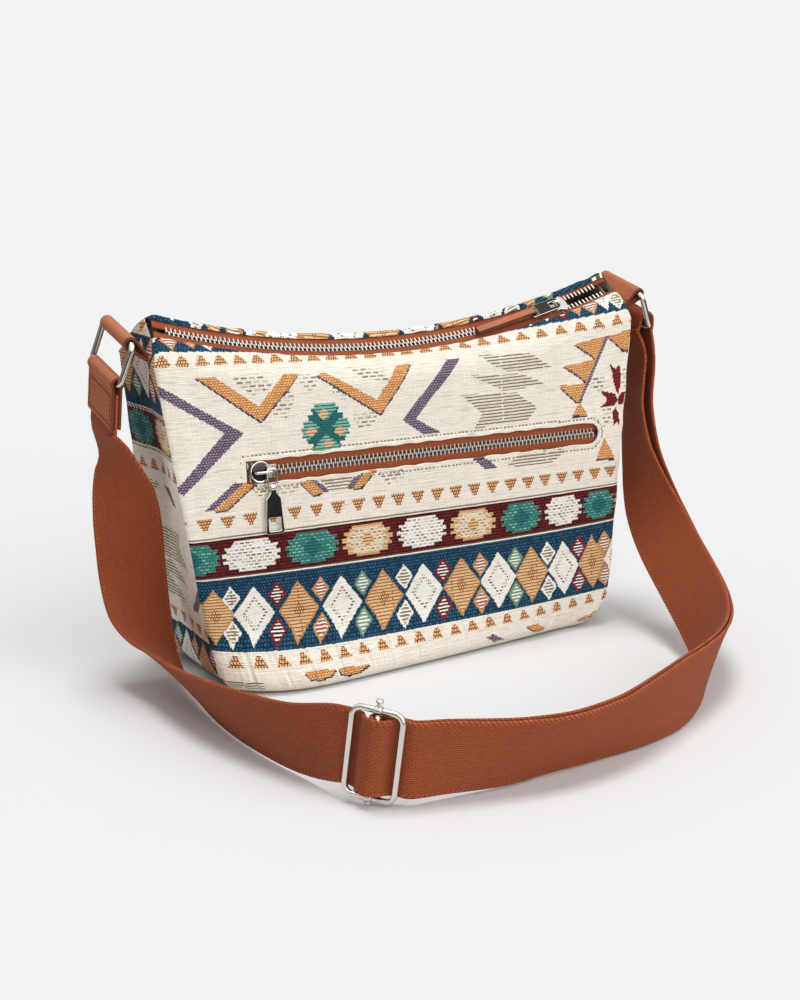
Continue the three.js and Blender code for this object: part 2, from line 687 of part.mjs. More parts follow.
function makeTopSlider() {
  const turn = zipTurnAt(topSliderX);
  const slider = new THREE.Group();
  slider.position.copy(zipPoint(turn, 0, 0));
  slider.rotation.set(zipTilt, -turn, 0, 'YXZ');
  bag.add(slider);

  const low = toothThickness / 2 + plateClearance;
  const high = low + plateThickness;
  const postHalf = low + plateThickness / 2;
  const post = slab(roundedOutline(1.5, 1.25, 0.6), -postHalf, postHalf, 2);
  post.translate(sliderLength / 2 - 1.6, 0, 0);
  const legRight = 1.6;
  const legLeft = -4.4;
  const body = joined([
    sliderPlate(sliderLength, sliderNose, sliderTail, low, high),
    sliderPlate(sliderLength, sliderNose, sliderTail, -high, -low),
    post,
    bridgeArch(legLeft, legRight, high - 0.2, bridgeHeight, bridgeBar, bridgeWidth),
  ]);
  addPiece('top_zip_slider', body, nickelLook, slider);

  // Flat link: an eye for the bridge at one end and one for the pull at the other
  const link = new THREE.Group();
  link.position.set((legLeft + legRight) / 2, 0, high + bridgeHeight / 2);
  slider.add(link);
  const plate = new THREE.Shape();
  const rim = linkRim / 2;
  plate.moveTo(rim, -linkHalfWidth * 0.75);
  plate.lineTo(rim, linkHalfWidth * 0.75);
  plate.lineTo(rim - 2, linkHalfWidth);
  plate.lineTo(-linkLength - rim, linkHalfWidth);
  plate.lineTo(-linkLength - rim, -linkHalfWidth);
  plate.lineTo(rim - 2, -linkHalfWidth);
  const eye = (from, to, half) => outlineOf([[to, -half], [from, -half], [from, half], [to, half]]);
  const bridgeEyeLeft = legLeft - link.position.x - 3;
  plate.holes.push(eye(bridgeEyeLeft, -rim, bridgeWidth / 2 + 1.2));
  plate.holes.push(eye(rim - linkLength, rim - linkLength + pullThickness + 1.6, pullHalfWidth + 0.4));
  addPiece('top_zip_link', slab(plate, -linkThickness / 2, linkThickness / 2), nickelLook, link);

  // Leather strip folded round the end of the link, its two tails lying along the zip's rise
  const inner = Math.hypot(linkRim, linkThickness) / 2 + plateClearance;
  const outer = inner + pullThickness;
  const close = pullThickness + seat;
  const turnSteps = 6;
  const strip = [];
  const fold = (radius, k) => {
    const angle = -Math.PI / 2 + (Math.PI * k) / turnSteps;
    strip.push([radius * Math.cos(angle), radius * Math.sin(angle)]);
  };
  strip.push([-pullLength, -outer], [-pullLength / 2, -outer]);
  for (let k = 0; k <= turnSteps; k += 1) fold(outer, k);
  const upper = close - outer;
  strip.push([-pullLength / 2, upper + pullThickness + outer - inner]);
  strip.push([-pullLength, upper + pullThickness], [-pullLength, upper]);
  strip.push([-pullLength / 2, upper + outer - inner]);
  for (let k = turnSteps; k >= 0; k -= 1) fold(inner, k);
  strip.push([-pullLength / 2, -inner], [-pullLength, -inner]);
  const linkEnd = link.position.x - linkLength;
  const pull = placed(slab(outlineOf(strip), -pullHalfWidth, pullHalfWidth), (p) => {
    const back = linkEnd + Math.min(p.x, 0);
    return new THREE.Vector3(p.x, -p.z, p.y + (back ** 2 - linkEnd ** 2) / (2 * zipRadius));
  });
  addPiece('top_zip_pull', pull, leatherLook, link).position.x = -linkLength;
}

function makePocketZip() {
  const middle = -panelThickness - seat - tapeThickness / 2;
  const zip = {
    sliderAt: pocketSliderX,
    opening: -1,
    low: middle,
    parting: (x) => partingAt(pocketSliderX - x),
    place: (p) => p,
  };
  const from = slotLeft - pocketTapeOver;
  const to = slotRight + pocketTapeOver;
  for (const [label, side] of [['upper', 1], ['lower', -1]]) {
    addPiece(`pocket_zip_tape_${label}`, tapeStrip(from, to, side, pocketTapeWidth, zip), tapeLook, pocket);
    const shift = side > 0 ? 0 : toothPitch / 2;
    const row = toothRow(slotLeft + seat * 3, slotRight - slotHeight / 6, shift, -side, zip);
    addPiece(`pocket_zip_teeth_${label}`, row, nickelLook, pocket);
  }

  // Slider with a round shield, a bridge along its travel, and a post between the parted rows
  const slider = new THREE.Group();
  slider.position.x = pocketSliderX;
  pocket.add(slider);
  const low = middle + toothThickness / 2 + plateClearance;
  const high = low + plateThickness;
  const under = middle - toothThickness / 2 - plateClearance;
  const shield = new THREE.Shape();
  const centre = -pocketSliderLength / 2 + pocketDomeRadius;
  const spread = Math.PI * 0.3;
  shield.absarc(centre, 0, pocketDomeRadius, spread, Math.PI * 2 - spread);
  shield.lineTo(pocketSliderLength / 2, -pocketNeck);
  shield.lineTo(pocketSliderLength / 2, pocketNeck);
  const postLow = under - plateThickness / 2;
  const post = slab(roundedOutline(1.5, 1.25, 0.6), postLow, low + plateThickness / 2, 2);
  post.translate(-sliderLength / 2 + 1.6, 0, 0);
  const legLeft = -pocketSliderLength / 2 + 1.6;
  const legRight = pocketSliderLength / 2 - 3.5;
  const body = joined([
    slab(shield, low, high, 5),
    slab(roundedOutline(pocketSliderLength / 2 - 1, pocketNeck + 1, 1.5), under - plateThickness, under, 2),
    post,
    bridgeArch(legLeft, legRight, high - 0.2, pocketBridgeHeight, bridgeBar, bridgeWidth),
  ]);
  addPiece('pocket_zip_slider', body, nickelLook, slider);

  // Wire link round the bridge's right leg, and the flat pull that hangs from it
  const play = pocketWire / 2 + seat * 1.5;
  const collarRadius = play + 0.9;
  const link = new THREE.Group();
  link.position.set(legRight - bridgeBar / 2, 0, collarRadius + seat);
  slider.add(link);
  const linkTop = bridgeWidth / 2 + pocketWire / 2 + seat * 2;
  const wire = wireFrame(pocketLinkWidth, pocketLinkLength, 1.6, pocketWire / 2, 6, 2);
  addPiece('pocket_zip_link', wire, nickelLook, link).position.y = linkTop - pocketLinkLength / 2;

  const neckHalf = (pocketLinkWidth - pocketWire) / 2 - 1.1;
  const foot = pocketPullFoot / 2;
  const half = pocketPullThickness / 2;
  const tag = outlineOf([
    [-neckHalf, -play * 0.5],
    [-neckHalf, -3.2],
    [-pocketPullTop / 2, -6],
    [-foot, 1 - pocketPullLength],
    [1 - foot, -pocketPullLength],
    [foot - 1, -pocketPullLength],
    [foot, 1 - pocketPullLength],
    [pocketPullTop / 2, -6],
    [neckHalf, -3.2],
    [neckHalf, -play * 0.5],
  ]);
  const windowHalf = pocketPullWindow / 2;
  const window = slab(roundedOutline(windowHalf, windowHalf, 0.8), -half * 3, half * 3, 2);
  window.translate(0, windowHalf + 1.6 - pocketPullLength, 0);
  const roller = (radius, length) =>
    new THREE.CylinderGeometry(radius, radius, length, 14).rotateZ(Math.PI / 2);
  const tube = joined([slab(tag, -half, half), roller(collarRadius, neckHalf * 2)]);
  const pull = cutBy(tube, [window, roller(play, neckHalf * 3)]);
  addPiece('pocket_zip_pull', pull, nickelLook, link).position.y = linkTop - pocketLinkLength;
}

// Flat cloth pouch that hangs behind the pocket slot, open towards the zip
function makePocketBag() {
  const near = -panelThickness - tapeThickness - seat * 2;
  const far = near - pocketRoom - pocketCloth;
  const mouth = tapeInner + pocketTapeWidth - 1;
  const left = slotLeft - pocketTapeOver;
  const right = slotRight + pocketTapeOver;
  const block = (low, high, back, front, inset) =>
    slab(outlineOf([[low, front], [low, back], [high, back], [high, front]]), left + inset, right - inset);
  const cloth = pocketCloth;
  const shell = block(-pocketDepth, mouth, far, near, 0);
  const room = block(cloth - pocketDepth, mouth - cloth, far + cloth, near - cloth, cloth);
  const opening = block(cloth - mouth, mouth - cloth, far + cloth * 2, near + 1, cloth);
  const pouch = placed(cutBy(shell, [room, opening]), (p) => new THREE.Vector3(p.z, p.x, p.y));
  addPiece('pocket_bag', pouch, liningLook, pocket);
}

// Ring station at one end: X away from the bag, Y up the ring's tilted frame, Z along its bars
function ringStation(end) {
  const corner = zipPoint(end < 0 ? mouthAngleLeft : mouthAngleRight, 0, 0);
  const out = new THREE.Vector3(end, 0, 0);
  const up = new THREE.Vector3(0, -Math.sin(ringTilt), Math.cos(ringTilt));
  const station = new THREE.Group();
  station.position.set(end * (sideReach + tabOut), tabY, corner.z - tabDrop);
  station.setRotationFromMatrix(new THREE.Matrix4().makeBasis(out, up, out.clone().cross(up)));
  station.updateMatrix();
  bag.add(station);
  return station;
}

const stations = { left: ringStation(-1), right: ringStation(1) };
const ringHeight = ringInnerHeight + ringWire;
const ringLeans = { left: ringLeanLeft, right: ringLeanRight };
const lowerBarOf = (lean) => new THREE.Vector3(Math.sin(lean), -Math.cos(lean), 0).multiplyScalar(ringHeight);
const lowerBars = { left: lowerBarOf(ringLeanLeft), right: lowerBarOf(ringLeanRight) };
const barDirection = new THREE.Vector3(0, Math.cos(ringTilt), Math.sin(ringTilt));
const onLowerBar = (label, x, y) =>
  new THREE.Vector3(x, y, 0).add(lowerBars[label]).applyMatrix4(stations[label].matrix);

// Leather tab: sewn to the gusset at its tail and turned over the ring's upper bar
function makeTab(label) {
  const station = stations[label];
  const outer = loopRadius + leatherThickness;
  const tail = [-tabOut, -tabTailDrop];
  const gusset = bag.getObjectByName(`${label}_gusset`);
  const out = new THREE.Vector3(Math.sign(station.position.x), 0, 0);
  const toStation = station.matrix.clone().invert();
  const onGusset = (point) => {
    const start = point.clone().applyMatrix4(station.matrix).addScaledVector(out, tabOut);
    const [hit] = new THREE.Raycaster(start, out.clone().negate()).intersectObject(gusset);
    return hit ? hit.point.addScaledVector(out, seat).applyMatrix4(toStation) : point;
  };
  const shape = new THREE.Shape();
  const steps = 14;
  const direction = Math.atan2(tail[1], tail[0]);
  for (let k = 0; k <= steps; k += 1) {
    const angle = direction + Math.PI / 2 + (Math.PI * k) / steps;
    const x = outer * Math.cos(angle);
    const y = outer * Math.sin(angle);
    if (k === 0) shape.moveTo(x, y);
    else shape.lineTo(x, y);
  }
  shape.lineTo(tail[0], tail[1] + tabTail / 2);
  shape.lineTo(tail[0], tail[1] - tabTail / 2);
  const bore = new THREE.Path();
  bore.absarc(0, 0, loopRadius, 0, Math.PI * 2, true);
  shape.holes.push(bore);
  const strip = slab(shape, -strapWidth / 2, strapWidth / 2, 8);
  const tab = placed(strip, (p) => (p.x > seat - tabOut ? p : onGusset(p)));
  addPiece(`${label}_ring_tab`, tab, leatherLook, station);
}

function makeRing(label) {
  const swing = new THREE.Group();
  swing.rotation.z = ringLeans[label];
  stations[label].add(swing);
  const wire = wireFrame(ringInnerWidth + ringWire, ringHeight, ringCorner, ringWire / 2, 8);
  addPiece(`${label}_ring`, wire.rotateY(Math.PI / 2), nickelLook, swing).position.y = -ringHeight / 2;
}

// Leather end tab: folded over the left ring's lower bar with the strap's end sewn between its layers
function makeEndTab() {
  const outer = loopRadius + leatherThickness;
  const gap = strapThickness / 2 + seat;
  const layer = gap + leatherThickness;
  const steps = 12;
  const rise = Math.sqrt(outer ** 2 - layer ** 2);
  const innerRise = Math.sqrt(loopRadius ** 2 - gap ** 2);
  const startAngle = Math.atan2(-rise, layer);
  const innerStart = Math.atan2(-innerRise, gap);
  const points = [[layer, -endTabLength]];
  for (let k = 0; k <= steps; k += 1) {
    const angle = THREE.MathUtils.lerp(startAngle, Math.PI - startAngle, k / steps);
    points.push([outer * Math.cos(angle), outer * Math.sin(angle)]);
  }
  points.push([-layer, -endTabLength], [-gap, -endTabLength]);
  for (let k = 0; k <= steps; k += 1) {
    const angle = THREE.MathUtils.lerp(Math.PI - innerStart, innerStart, k / steps);
    points.push([loopRadius * Math.cos(angle), loopRadius * Math.sin(angle)]);
  }
  points.push([gap, -endTabLength]);
  const tab = slab(outlineOf(points), -strapWidth / 2, strapWidth / 2);
  addPiece('strap_end_tab', tab, leatherLook, stations.left).position.copy(lowerBars.left);
}

// Adjuster frame: X along the strap, Y across it, Z off its face
const adjuster = new THREE.Group();
const across = adjusterAcross.clone().projectOnPlane(adjusterAlong).normalize();
const adjusterFace = adjusterAlong.clone().cross(across);
adjuster.position.copy(adjusterCentre);
adjuster.setRotationFromMatrix(new THREE.Matrix4().makeBasis(adjusterAlong, across, adjusterFace));
adjuster.updateMatrix();
bag.add(adjuster);

// Slide adjuster: wire frame, and a cross bar that runs on the frame's two short sides
function makeAdjuster() {
  const width = adjusterInnerWidth + adjusterWire;
  const height = adjusterInnerHeight + adjusterWire;
  const frame = wireFrame(width, height, adjusterCorner, adjusterWire / 2, 8);
  addPiece('adjuster_frame', frame, nickelLook, adjuster);
  const bore = adjusterWire / 2 + barPlay;
  const sleeve = bore + barSleeveWall;
  const solids = [new THREE.CylinderGeometry(barWire / 2, barWire / 2, height - bore * 2, 10)];
  const bores = [];
  for (const side of [-1, 1]) {
    const ring = new THREE.CylinderGeometry(sleeve, sleeve, barSleeve, 10);
    solids.push(ring.rotateZ(Math.PI / 2).translate(0, (side * height) / 2, 0));
    const knob = new THREE.SphereGeometry(barKnob, 8, 4);
    solids.push(knob.translate(0, side * (height / 2 + sleeve - barKnob / 3), 0));
    const hole = new THREE.CylinderGeometry(bore, bore, barSleeve * 2, 10);
    bores.push(hole.rotateZ(Math.PI / 2).translate(0, (side * height) / 2, 0));
  }
  addPiece('adjuster_bar', cutBy(joined(solids), bores), nickelLook, adjuster);
}

const stop = (point, direction) => ({ point, direction: direction.clone().normalize() });
const routeStops = (route) =>
  route.map(([x, y, z, a, b, c]) => stop(new THREE.Vector3(x, y, z), new THREE.Vector3(a, b, c)));

// Sections of a ribbon through its stops: the middle, the direction across and the direction off its face
function ribbonSections(stops) {
  const line = new THREE.CatmullRomCurve3(stops.map((s) => s.point), false, 'centripetal');
  const last = stops.length - 1;
  const sectionAt = (place) => {
    const index = Math.min(Math.floor(place), last - 1);
    const tangent = line.getTangent(place / last);
    const wide = stops[index].direction.clone().lerp(stops[index + 1].direction, place - index);
    wide.addScaledVector(tangent, -wide.dot(tangent)).normalize();
    const face = wide.clone().cross(tangent).normalize();
    return { place, point: line.getPoint(place / last), wide, face };
  };
  const sections = [];
  for (let i = 0; i < last; i += 1) {
    const steps = Math.max(1, Math.round(stops[i].point.distanceTo(stops[i + 1].point) / strapStep));
    for (let k = 0; k < steps; k += 1) sections.push(sectionAt(i + k / steps));
  }
  return [...sections, sectionAt(last)];
}

// A ribbon through its sections on the way out and back. Both faces of both layers split along the same
// diagonals, so twisted stretches stay parallel
function ribbonThrough(outward, back) {
  const sections = [...outward, ...back];
  const points = sections.flatMap(({ point, wide, face }) =>
    [[1, 1], [-1, 1], [-1, -1], [1, -1]].map(([w, f]) =>
      point
        .clone()
        .addScaledVector(wide, (w * strapWidth) / 2)
        .addScaledVector(face, (f * strapThickness) / 2),
    ),
  );
  const faces = [];
  const quad = (a, b, c, d, turned) => {
    if (turned) faces.push([a, b, d], [b, c, d]);
    else faces.push([a, b, c], [a, c, d]);
  };
  for (let i = 0; i + 1 < sections.length; i += 1) {
    const here = i * 4;
    const next = here + 4;
    const returning = i >= outward.length;
    for (let k = 0; k < 4; k += 1) {
      const l = (k + 1) % 4;
      quad(here + k, next + k, next + l, here + l, returning !== (k === 2));
    }
  }
  const end = points.length - 4;
  faces.push([0, 1, 2], [0, 2, 3], [end, end + 2, end + 1], [end, end + 3, end + 2]);
  return closedGeometry(points, faces);
}

// Strap: one length of webbing from the end tab through the adjuster, round the right ring,
// and back along itself to the adjuster's bar
function makeStrap() {
  const onAdjuster = ([x, off]) => stop(new THREE.Vector3(x, 0, off).applyMatrix4(adjuster.matrix), across);
  const downTab = [loopRadius + leatherThickness + 2, endTabLength * 0.6, endTabLength + 2, endTabLength + 9];
  const behind = -(adjusterWire / 2 + seat * 3 + strapThickness / 2);
  const barLoop = barWire / 2 + barLoopPlay + strapThickness / 2;
  const over = barLoop + strapThickness + layerGap;
  const half = (adjusterInnerWidth + adjusterWire) / 2;
  const climb = [
    [half + 5, behind],
    [half, behind],
    [half * 0.64, behind * 0.4],
    [half * 0.38, over * 0.66],
  ];
  const towardsFront = barDirection.clone().negate();
  const onBar = (x, y) => stop(onLowerBar('right', x, y), towardsFront);
  const turns = [0, 0.25, 0.5, 0.75, 1].map((turn) => Math.PI * turn);
  const toAdjuster = [
    ...downTab.map((down) => stop(onLowerBar('left', 0, -down), barDirection)),
    ...routeStops(leftRoute),
    ...climb.map(([x, off]) => onAdjuster([-x, off])),
    onAdjuster([0, over]),
    ...[...climb].reverse().map(onAdjuster),
  ];
  const outward = ribbonSections([
    ...toAdjuster,
    ...routeStops(rightRoute),
    onBar(ringLoopHalf, -strapSpread * 2),
    ...turns.map((turn) => onBar(ringLoopHalf * Math.cos(turn), ringLoopRise * Math.sin(turn))),
    onBar(-ringLoopHalf, -strapSpread * 2),
  ]);

  // The layer on the way back lies beside the outward one and leaves it towards the ring
  const first = toAdjuster.length;
  const last = first + rightRoute.length - 1;
  const doubled = outward.filter(({ place }) => place >= first && place <= last).reverse();
  const back = doubled.map(({ place, point, wide, face }) => {
    const leaving = THREE.MathUtils.smoothstep(place, last - 5, last - 1);
    const apart = strapThickness + layerGap + strapSpread * leaving;
    return { point: point.clone().addScaledVector(face, apart), wide, face: face.clone().negate() };
  });
  const { point, wide } = back[back.length - 1];
  const inside = behind - strapThickness - layerGap;
  const barTurns = [-0.75, -1, -1.25, -1.45].map((angle) => Math.PI * angle);
  const home = ribbonSections([
    stop(point, wide),
    ...[[half + 4, inside], [half, inside], [half * 0.55, -barLoop * 1.1], [0, -barLoop]].map(onAdjuster),
    ...barTurns.map((turn) => onAdjuster([barLoop * Math.cos(turn), barLoop * Math.sin(turn)])),
  ]);
  addPiece('strap', ribbonThrough(outward, [...back, ...home.slice(1)]), webbingLook);
}

makePanels();
makeGusset('left_gusset', -1);
makeGusset('right_gusset', 1);
makeLining();
makePocketBag();
makeTopZip();
makeTopSlider();
makePocketZip();
makeTab('left');
makeTab('right');
makeRing('left');
makeRing('right');
makeEndTab();
makeAdjuster();
makeStrap();

export default bag;
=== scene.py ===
import math

import bmesh
import bpy
import numpy as np
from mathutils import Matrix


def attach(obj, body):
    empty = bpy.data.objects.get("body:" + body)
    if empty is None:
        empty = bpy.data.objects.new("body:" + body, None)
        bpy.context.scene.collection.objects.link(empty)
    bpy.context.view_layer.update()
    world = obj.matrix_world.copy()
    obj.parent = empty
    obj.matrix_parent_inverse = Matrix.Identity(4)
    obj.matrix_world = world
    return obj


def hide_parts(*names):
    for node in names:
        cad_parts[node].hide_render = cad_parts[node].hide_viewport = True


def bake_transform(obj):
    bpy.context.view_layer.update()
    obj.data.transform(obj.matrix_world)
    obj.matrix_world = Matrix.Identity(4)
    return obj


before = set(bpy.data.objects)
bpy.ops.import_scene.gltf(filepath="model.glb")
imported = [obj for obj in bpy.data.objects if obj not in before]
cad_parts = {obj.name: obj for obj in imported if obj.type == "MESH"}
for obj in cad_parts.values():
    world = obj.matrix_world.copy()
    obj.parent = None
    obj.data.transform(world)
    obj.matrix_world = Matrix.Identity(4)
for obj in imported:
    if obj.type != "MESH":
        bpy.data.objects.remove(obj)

mm = 0.001
scene = bpy.context.scene
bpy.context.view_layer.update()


def smoothstep(value, low, high):
    share = np.clip((np.asarray(value, float) - low) / (high - low), 0, 1)
    return share * share * (3 - 2 * share)


def linear(code):
    parts = np.array([int(code[k : k + 2], 16) for k in (0, 2, 4)]) / 255
    return np.where(parts <= 0.04045, parts / 12.92, ((parts + 0.055) / 1.055) ** 2.4)


def unit(vectors):
    return vectors / np.linalg.norm(vectors, axis=-1, keepdims=True)


def linked(name, data):
    piece = bpy.data.objects.new(name, data)
    scene.collection.objects.link(piece)
    return piece


# Distance along a line at each of its points
def runOf(line):
    steps = np.linalg.norm(np.diff(line, axis=0), axis=1)
    return np.concatenate([[0], np.cumsum(steps)])


def lineAt(line, run, places):
    return np.stack([np.interp(places, run, line[:, k]) for k in range(line.shape[1])], -1)


# One mesh from several parts, each (points in mm, faces, material number, smooth)
def assemble(name, parts, materials):
    points, faces, kinds, rounded = [], [], [], []
    start = 0
    for partPoints, partFaces, kind, smooth in parts:
        points.append(np.asarray(partPoints, float))
        faces += [[start + i for i in face] for face in partFaces]
        kinds += [kind] * len(partFaces)
        rounded += [smooth] * len(partFaces)
        start += len(partPoints)
    mesh = bpy.data.meshes.new(name)
    mesh.from_pydata((np.concatenate(points) * mm).tolist(), [], faces)
    mesh.polygons.foreach_set("material_index", kinds)
    mesh.polygons.foreach_set("use_smooth", rounded)
    for material in materials:
        mesh.materials.append(material)
    return linked(name, mesh)


def pieceFrom(name, points, faces, material):
    return assemble(name, [(points, faces, 0, True)], [material])


def giveUv(piece, places):
    layer = piece.data.uv_layers.new(name="cloth")
    corners = np.empty(len(piece.data.loops), dtype=np.int32)
    piece.data.loops.foreach_get("vertex_index", corners)
    layer.data.foreach_set("uv", np.asarray(places, np.float32)[corners].ravel())


# Woven paint by face: colours of the ground and of the floats over it, and the floats' sizes,
# with how evenly they show as the colours' alpha
def givePaint(piece, paint):
    for name, key in (("ground", "ground"), ("float", "over")):
        layer = piece.data.attributes.new(name, "FLOAT_COLOR", "FACE")
        full = np.ones((len(paint[key]), 4), np.float32)
        full[:, :3] = np.clip(paint[key], 0, 1)
        full[:, 3] = paint["sizes"][:, 3]
        layer.data.foreach_set("color", full.ravel())
    layer = piece.data.attributes.new("floatSize", "FLOAT_VECTOR", "FACE")
    layer.data.foreach_set("vector", paint["sizes"][:, :3].astype(np.float32).ravel())


def gridFaces(rows, columns, roundRows=False, roundColumns=False):
    lastRow = rows if roundRows else rows - 1
    lastColumn = columns if roundColumns else columns - 1
    i, j = np.meshgrid(np.arange(lastRow), np.arange(lastColumn), indexing="ij")
    below, beside = (i + 1) % rows, (j + 1) % columns
    quads = [i * columns + j, below * columns + j, below * columns + beside, i * columns + beside]
    return np.stack(quads, -1).reshape(-1, 4)


def settle(piece, body, slot, *nodes):
    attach(piece, body)
    if nodes:
        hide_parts(*nodes)
    return piece


# Turns points of a piece's own axes into the bag's
def placer(origin, along, up, off):
    axes = np.array([along, up, off], float)
    return lambda points: np.asarray(origin, float) + np.asarray(points, float) @ axes


def roundedLoop(halfX, halfY, corner, steps=6):
    points = []
    for k, (sx, sy) in enumerate(((1, 1), (-1, 1), (-1, -1), (1, -1))):
        for angle in np.linspace(k, k + 1, steps + 1) * math.pi / 2:
            x = sx * (halfX - corner) + corner * math.cos(angle)
            points.append((x, sy * (halfY - corner) + corner * math.sin(angle)))
    return np.array(points)


# A bar swept along a line in a plane: its section is round at squareness 1, boxy below
def wireAlong(line, normal, half, sides=16, closed=True, squareness=1.0):
    line = np.asarray(line, float)
    if closed:
        tangent = unit(np.roll(line, -1, 0) - np.roll(line, 1, 0))
    else:
        tangent = unit(np.gradient(line, axis=0))
    side = unit(np.cross(tangent, normal))
    angle = np.linspace(0, 2 * math.pi, sides, endpoint=False)
    wide = half[0] * np.sign(np.cos(angle)) * np.abs(np.cos(angle)) ** squareness
    tall = half[1] * np.sign(np.sin(angle)) * np.abs(np.sin(angle)) ** squareness
    points = line[:, None] + side[:, None] * wide[None, :, None]
    points = points + np.asarray(normal, float) * tall[None, :, None]
    rows = len(line)
    faces = gridFaces(rows, sides, closed, True).tolist()
    if not closed:
        faces.append(list(range(sides)))
        faces.append([(rows - 1) * sides + k for k in reversed(range(sides))])
    return points.reshape(-1, 3), faces


# A turned shape about the third axis from (radius, height) pairs, listed from its foot to its top
def turned(profile, steps=32):
    angle = np.linspace(0, 2 * math.pi, steps, endpoint=False)
    rings = [np.stack([r * np.cos(angle), r * np.sin(angle), 0 * angle + h], -1) for r, h in profile]
    faces = gridFaces(len(rings), steps, False, True)[:, ::-1].tolist()
    faces.append(list(reversed(range(steps))))
    faces.append([(len(rings) - 1) * steps + k for k in range(steps)])
    return np.concatenate(rings), faces


# A flat plate with holes and eased edges
def plate(outlines, low, high, ease):
    curve = bpy.data.curves.new("plate", "CURVE")
    curve.dimensions = "2D"
    curve.fill_mode = "BOTH"
    for outline in outlines:
        spline = curve.splines.new("POLY")
        spline.points.add(len(outline) - 1)
        for point, (x, y) in zip(spline.points, outline):
            point.co = (x, y, 0, 1)
        spline.use_cyclic_u = True
    curve.extrude = (high - low) / 2 - ease
    curve.bevel_depth = ease
    curve.bevel_resolution = 1
    curve.offset = -ease
    holder = linked("plate", curve)
    shown = holder.evaluated_get(bpy.context.evaluated_depsgraph_get())
    mesh = bpy.data.meshes.new_from_object(shown)
    shape = bmesh.new()
    shape.from_mesh(mesh)
    bmesh.ops.remove_doubles(shape, verts=shape.verts, dist=0.002)
    bmesh.ops.recalc_face_normals(shape, faces=shape.faces)
    points = np.array([v.co for v in shape.verts]) + np.array((0, 0, (low + high) / 2))
    faces = [[v.index for v in face.verts] for face in shape.faces]
    shape.free()
    bpy.data.objects.remove(holder)
    bpy.data.meshes.remove(mesh)
    bpy.data.curves.remove(curve)
    return points, faces


def setInputs(tree, node, inputs):
    for key, value in inputs.items():
        if isinstance(value, bpy.types.NodeSocket):
            tree.links.new(value, node.inputs[key])
        else:
            node.inputs[key].default_value = value


def makeNode(tree, kind, inputs=None, **fields):
    made = tree.nodes.new(kind)
    for field, value in fields.items():
        setattr(made, field, value)
    setInputs(tree, made, inputs or {})
    return made


def addSockets(tree, inputs, outputs):
    for way, sockets in (("INPUT", inputs), ("OUTPUT", outputs)):
        for name, kind in sockets.items():
            tree.interface.new_socket(name, in_out=way, socket_type="NodeSocket" + kind)


# Runs a Geometry Nodes tree once and gives back the plain mesh
def runTree(tree, values, base=None):
    mesh = base or bpy.data.meshes.new("carrier")
    carrier = linked("carrier", mesh)
    modifier = carrier.modifiers.new("repeat", "NODES")
    modifier.node_group = tree
    for item in tree.interface.items_tree:
        if item.in_out == "INPUT" and item.name in values:
            modifier[item.identifier] = values[item.name]
    shown = carrier.evaluated_get(bpy.context.evaluated_depsgraph_get())
    result = bpy.data.meshes.new_from_object(shown)
    carrier.modifiers.remove(modifier)
    bpy.data.objects.remove(carrier)
    return result


# Ends a tree with instances on its points, made real and given a material
def finishTree(tree, source, places):
    spread = makeNode(tree, "GeometryNodeInstanceOnPoints", places)
    solid = makeNode(tree, "GeometryNodeRealizeInstances", {0: spread.outputs[0]})
    shown = makeNode(tree, "GeometryNodeSetMaterial", {0: solid.outputs[0], "Material": source["Finish"]})
    tree.links.new(shown.outputs[0], tree.nodes.new("NodeGroupOutput").inputs[0])
    return tree


def makeRowTree():
    tree = bpy.data.node_groups.new("toothRow", "GeometryNodeTree")
    inputs = {"Count": "Int", "Pitch": "Float", "Tooth": "Object", "Finish": "Material"}
    addSockets(tree, inputs, {"Row": "Geometry"})
    source = tree.nodes.new("NodeGroupInput").outputs
    step = makeNode(tree, "ShaderNodeCombineXYZ", {"X": source["Pitch"]})
    line = makeNode(tree, "GeometryNodeMeshLine", {"Count": source["Count"], "Offset": step.outputs[0]})
    tooth = makeNode(tree, "GeometryNodeObjectInfo", {"Object": source["Tooth"]})
    places = {"Points": line.outputs[0], "Instance": tooth.outputs["Geometry"]}
    return finishTree(tree, source, places)


def makeStitchTree():
    tree = bpy.data.node_groups.new("stitchLine", "GeometryNodeTree")
    inputs = {"Path": "Geometry", "Pitch": "Float", "Stitch": "Object", "Finish": "Material"}
    addSockets(tree, inputs, {"Stitches": "Geometry"})
    source = tree.nodes.new("NodeGroupInput").outputs
    curve = makeNode(tree, "GeometryNodeMeshToCurve", {0: source["Path"]})
    line = makeNode(tree, "GeometryNodeResampleCurve", {0: curve.outputs[0]}, mode="LENGTH")
    tree.links.new(source["Pitch"], line.inputs["Length"])
    tangent = makeNode(tree, "GeometryNodeInputTangent")
    turn = makeNode(tree, "FunctionNodeAlignRotationToVector", {"Vector": tangent.outputs[0]}, axis="X")
    stitch = makeNode(tree, "GeometryNodeObjectInfo", {"Object": source["Stitch"]})
    places = {"Points": line.outputs[0], "Instance": stitch.outputs["Geometry"], "Rotation": turn.outputs[0]}
    return finishTree(tree, source, places)


rowTree = makeRowTree()
stitchTree = makeStitchTree()


def newMaterial(name):
    material = bpy.data.materials.new(name)
    material.use_nodes = True
    return material, material.node_tree, material.node_tree.nodes["Principled BSDF"]


def grey(value):
    return (value, value, value, 1.0)


def colourSocket(sockets, number=0):
    return [s for s in sockets if s.type == "RGBA"][number]


def mixColour(tree, factor, first, second, blend="MIX"):
    node = makeNode(tree, "ShaderNodeMix", {"Factor": factor}, data_type="RGBA", blend_type=blend)
    for number, value in enumerate((first, second)):
        socket = colourSocket(node.inputs, number)
        if isinstance(value, bpy.types.NodeSocket):
            tree.links.new(value, socket)
        else:
            socket.default_value = value
    return colourSocket(node.outputs)


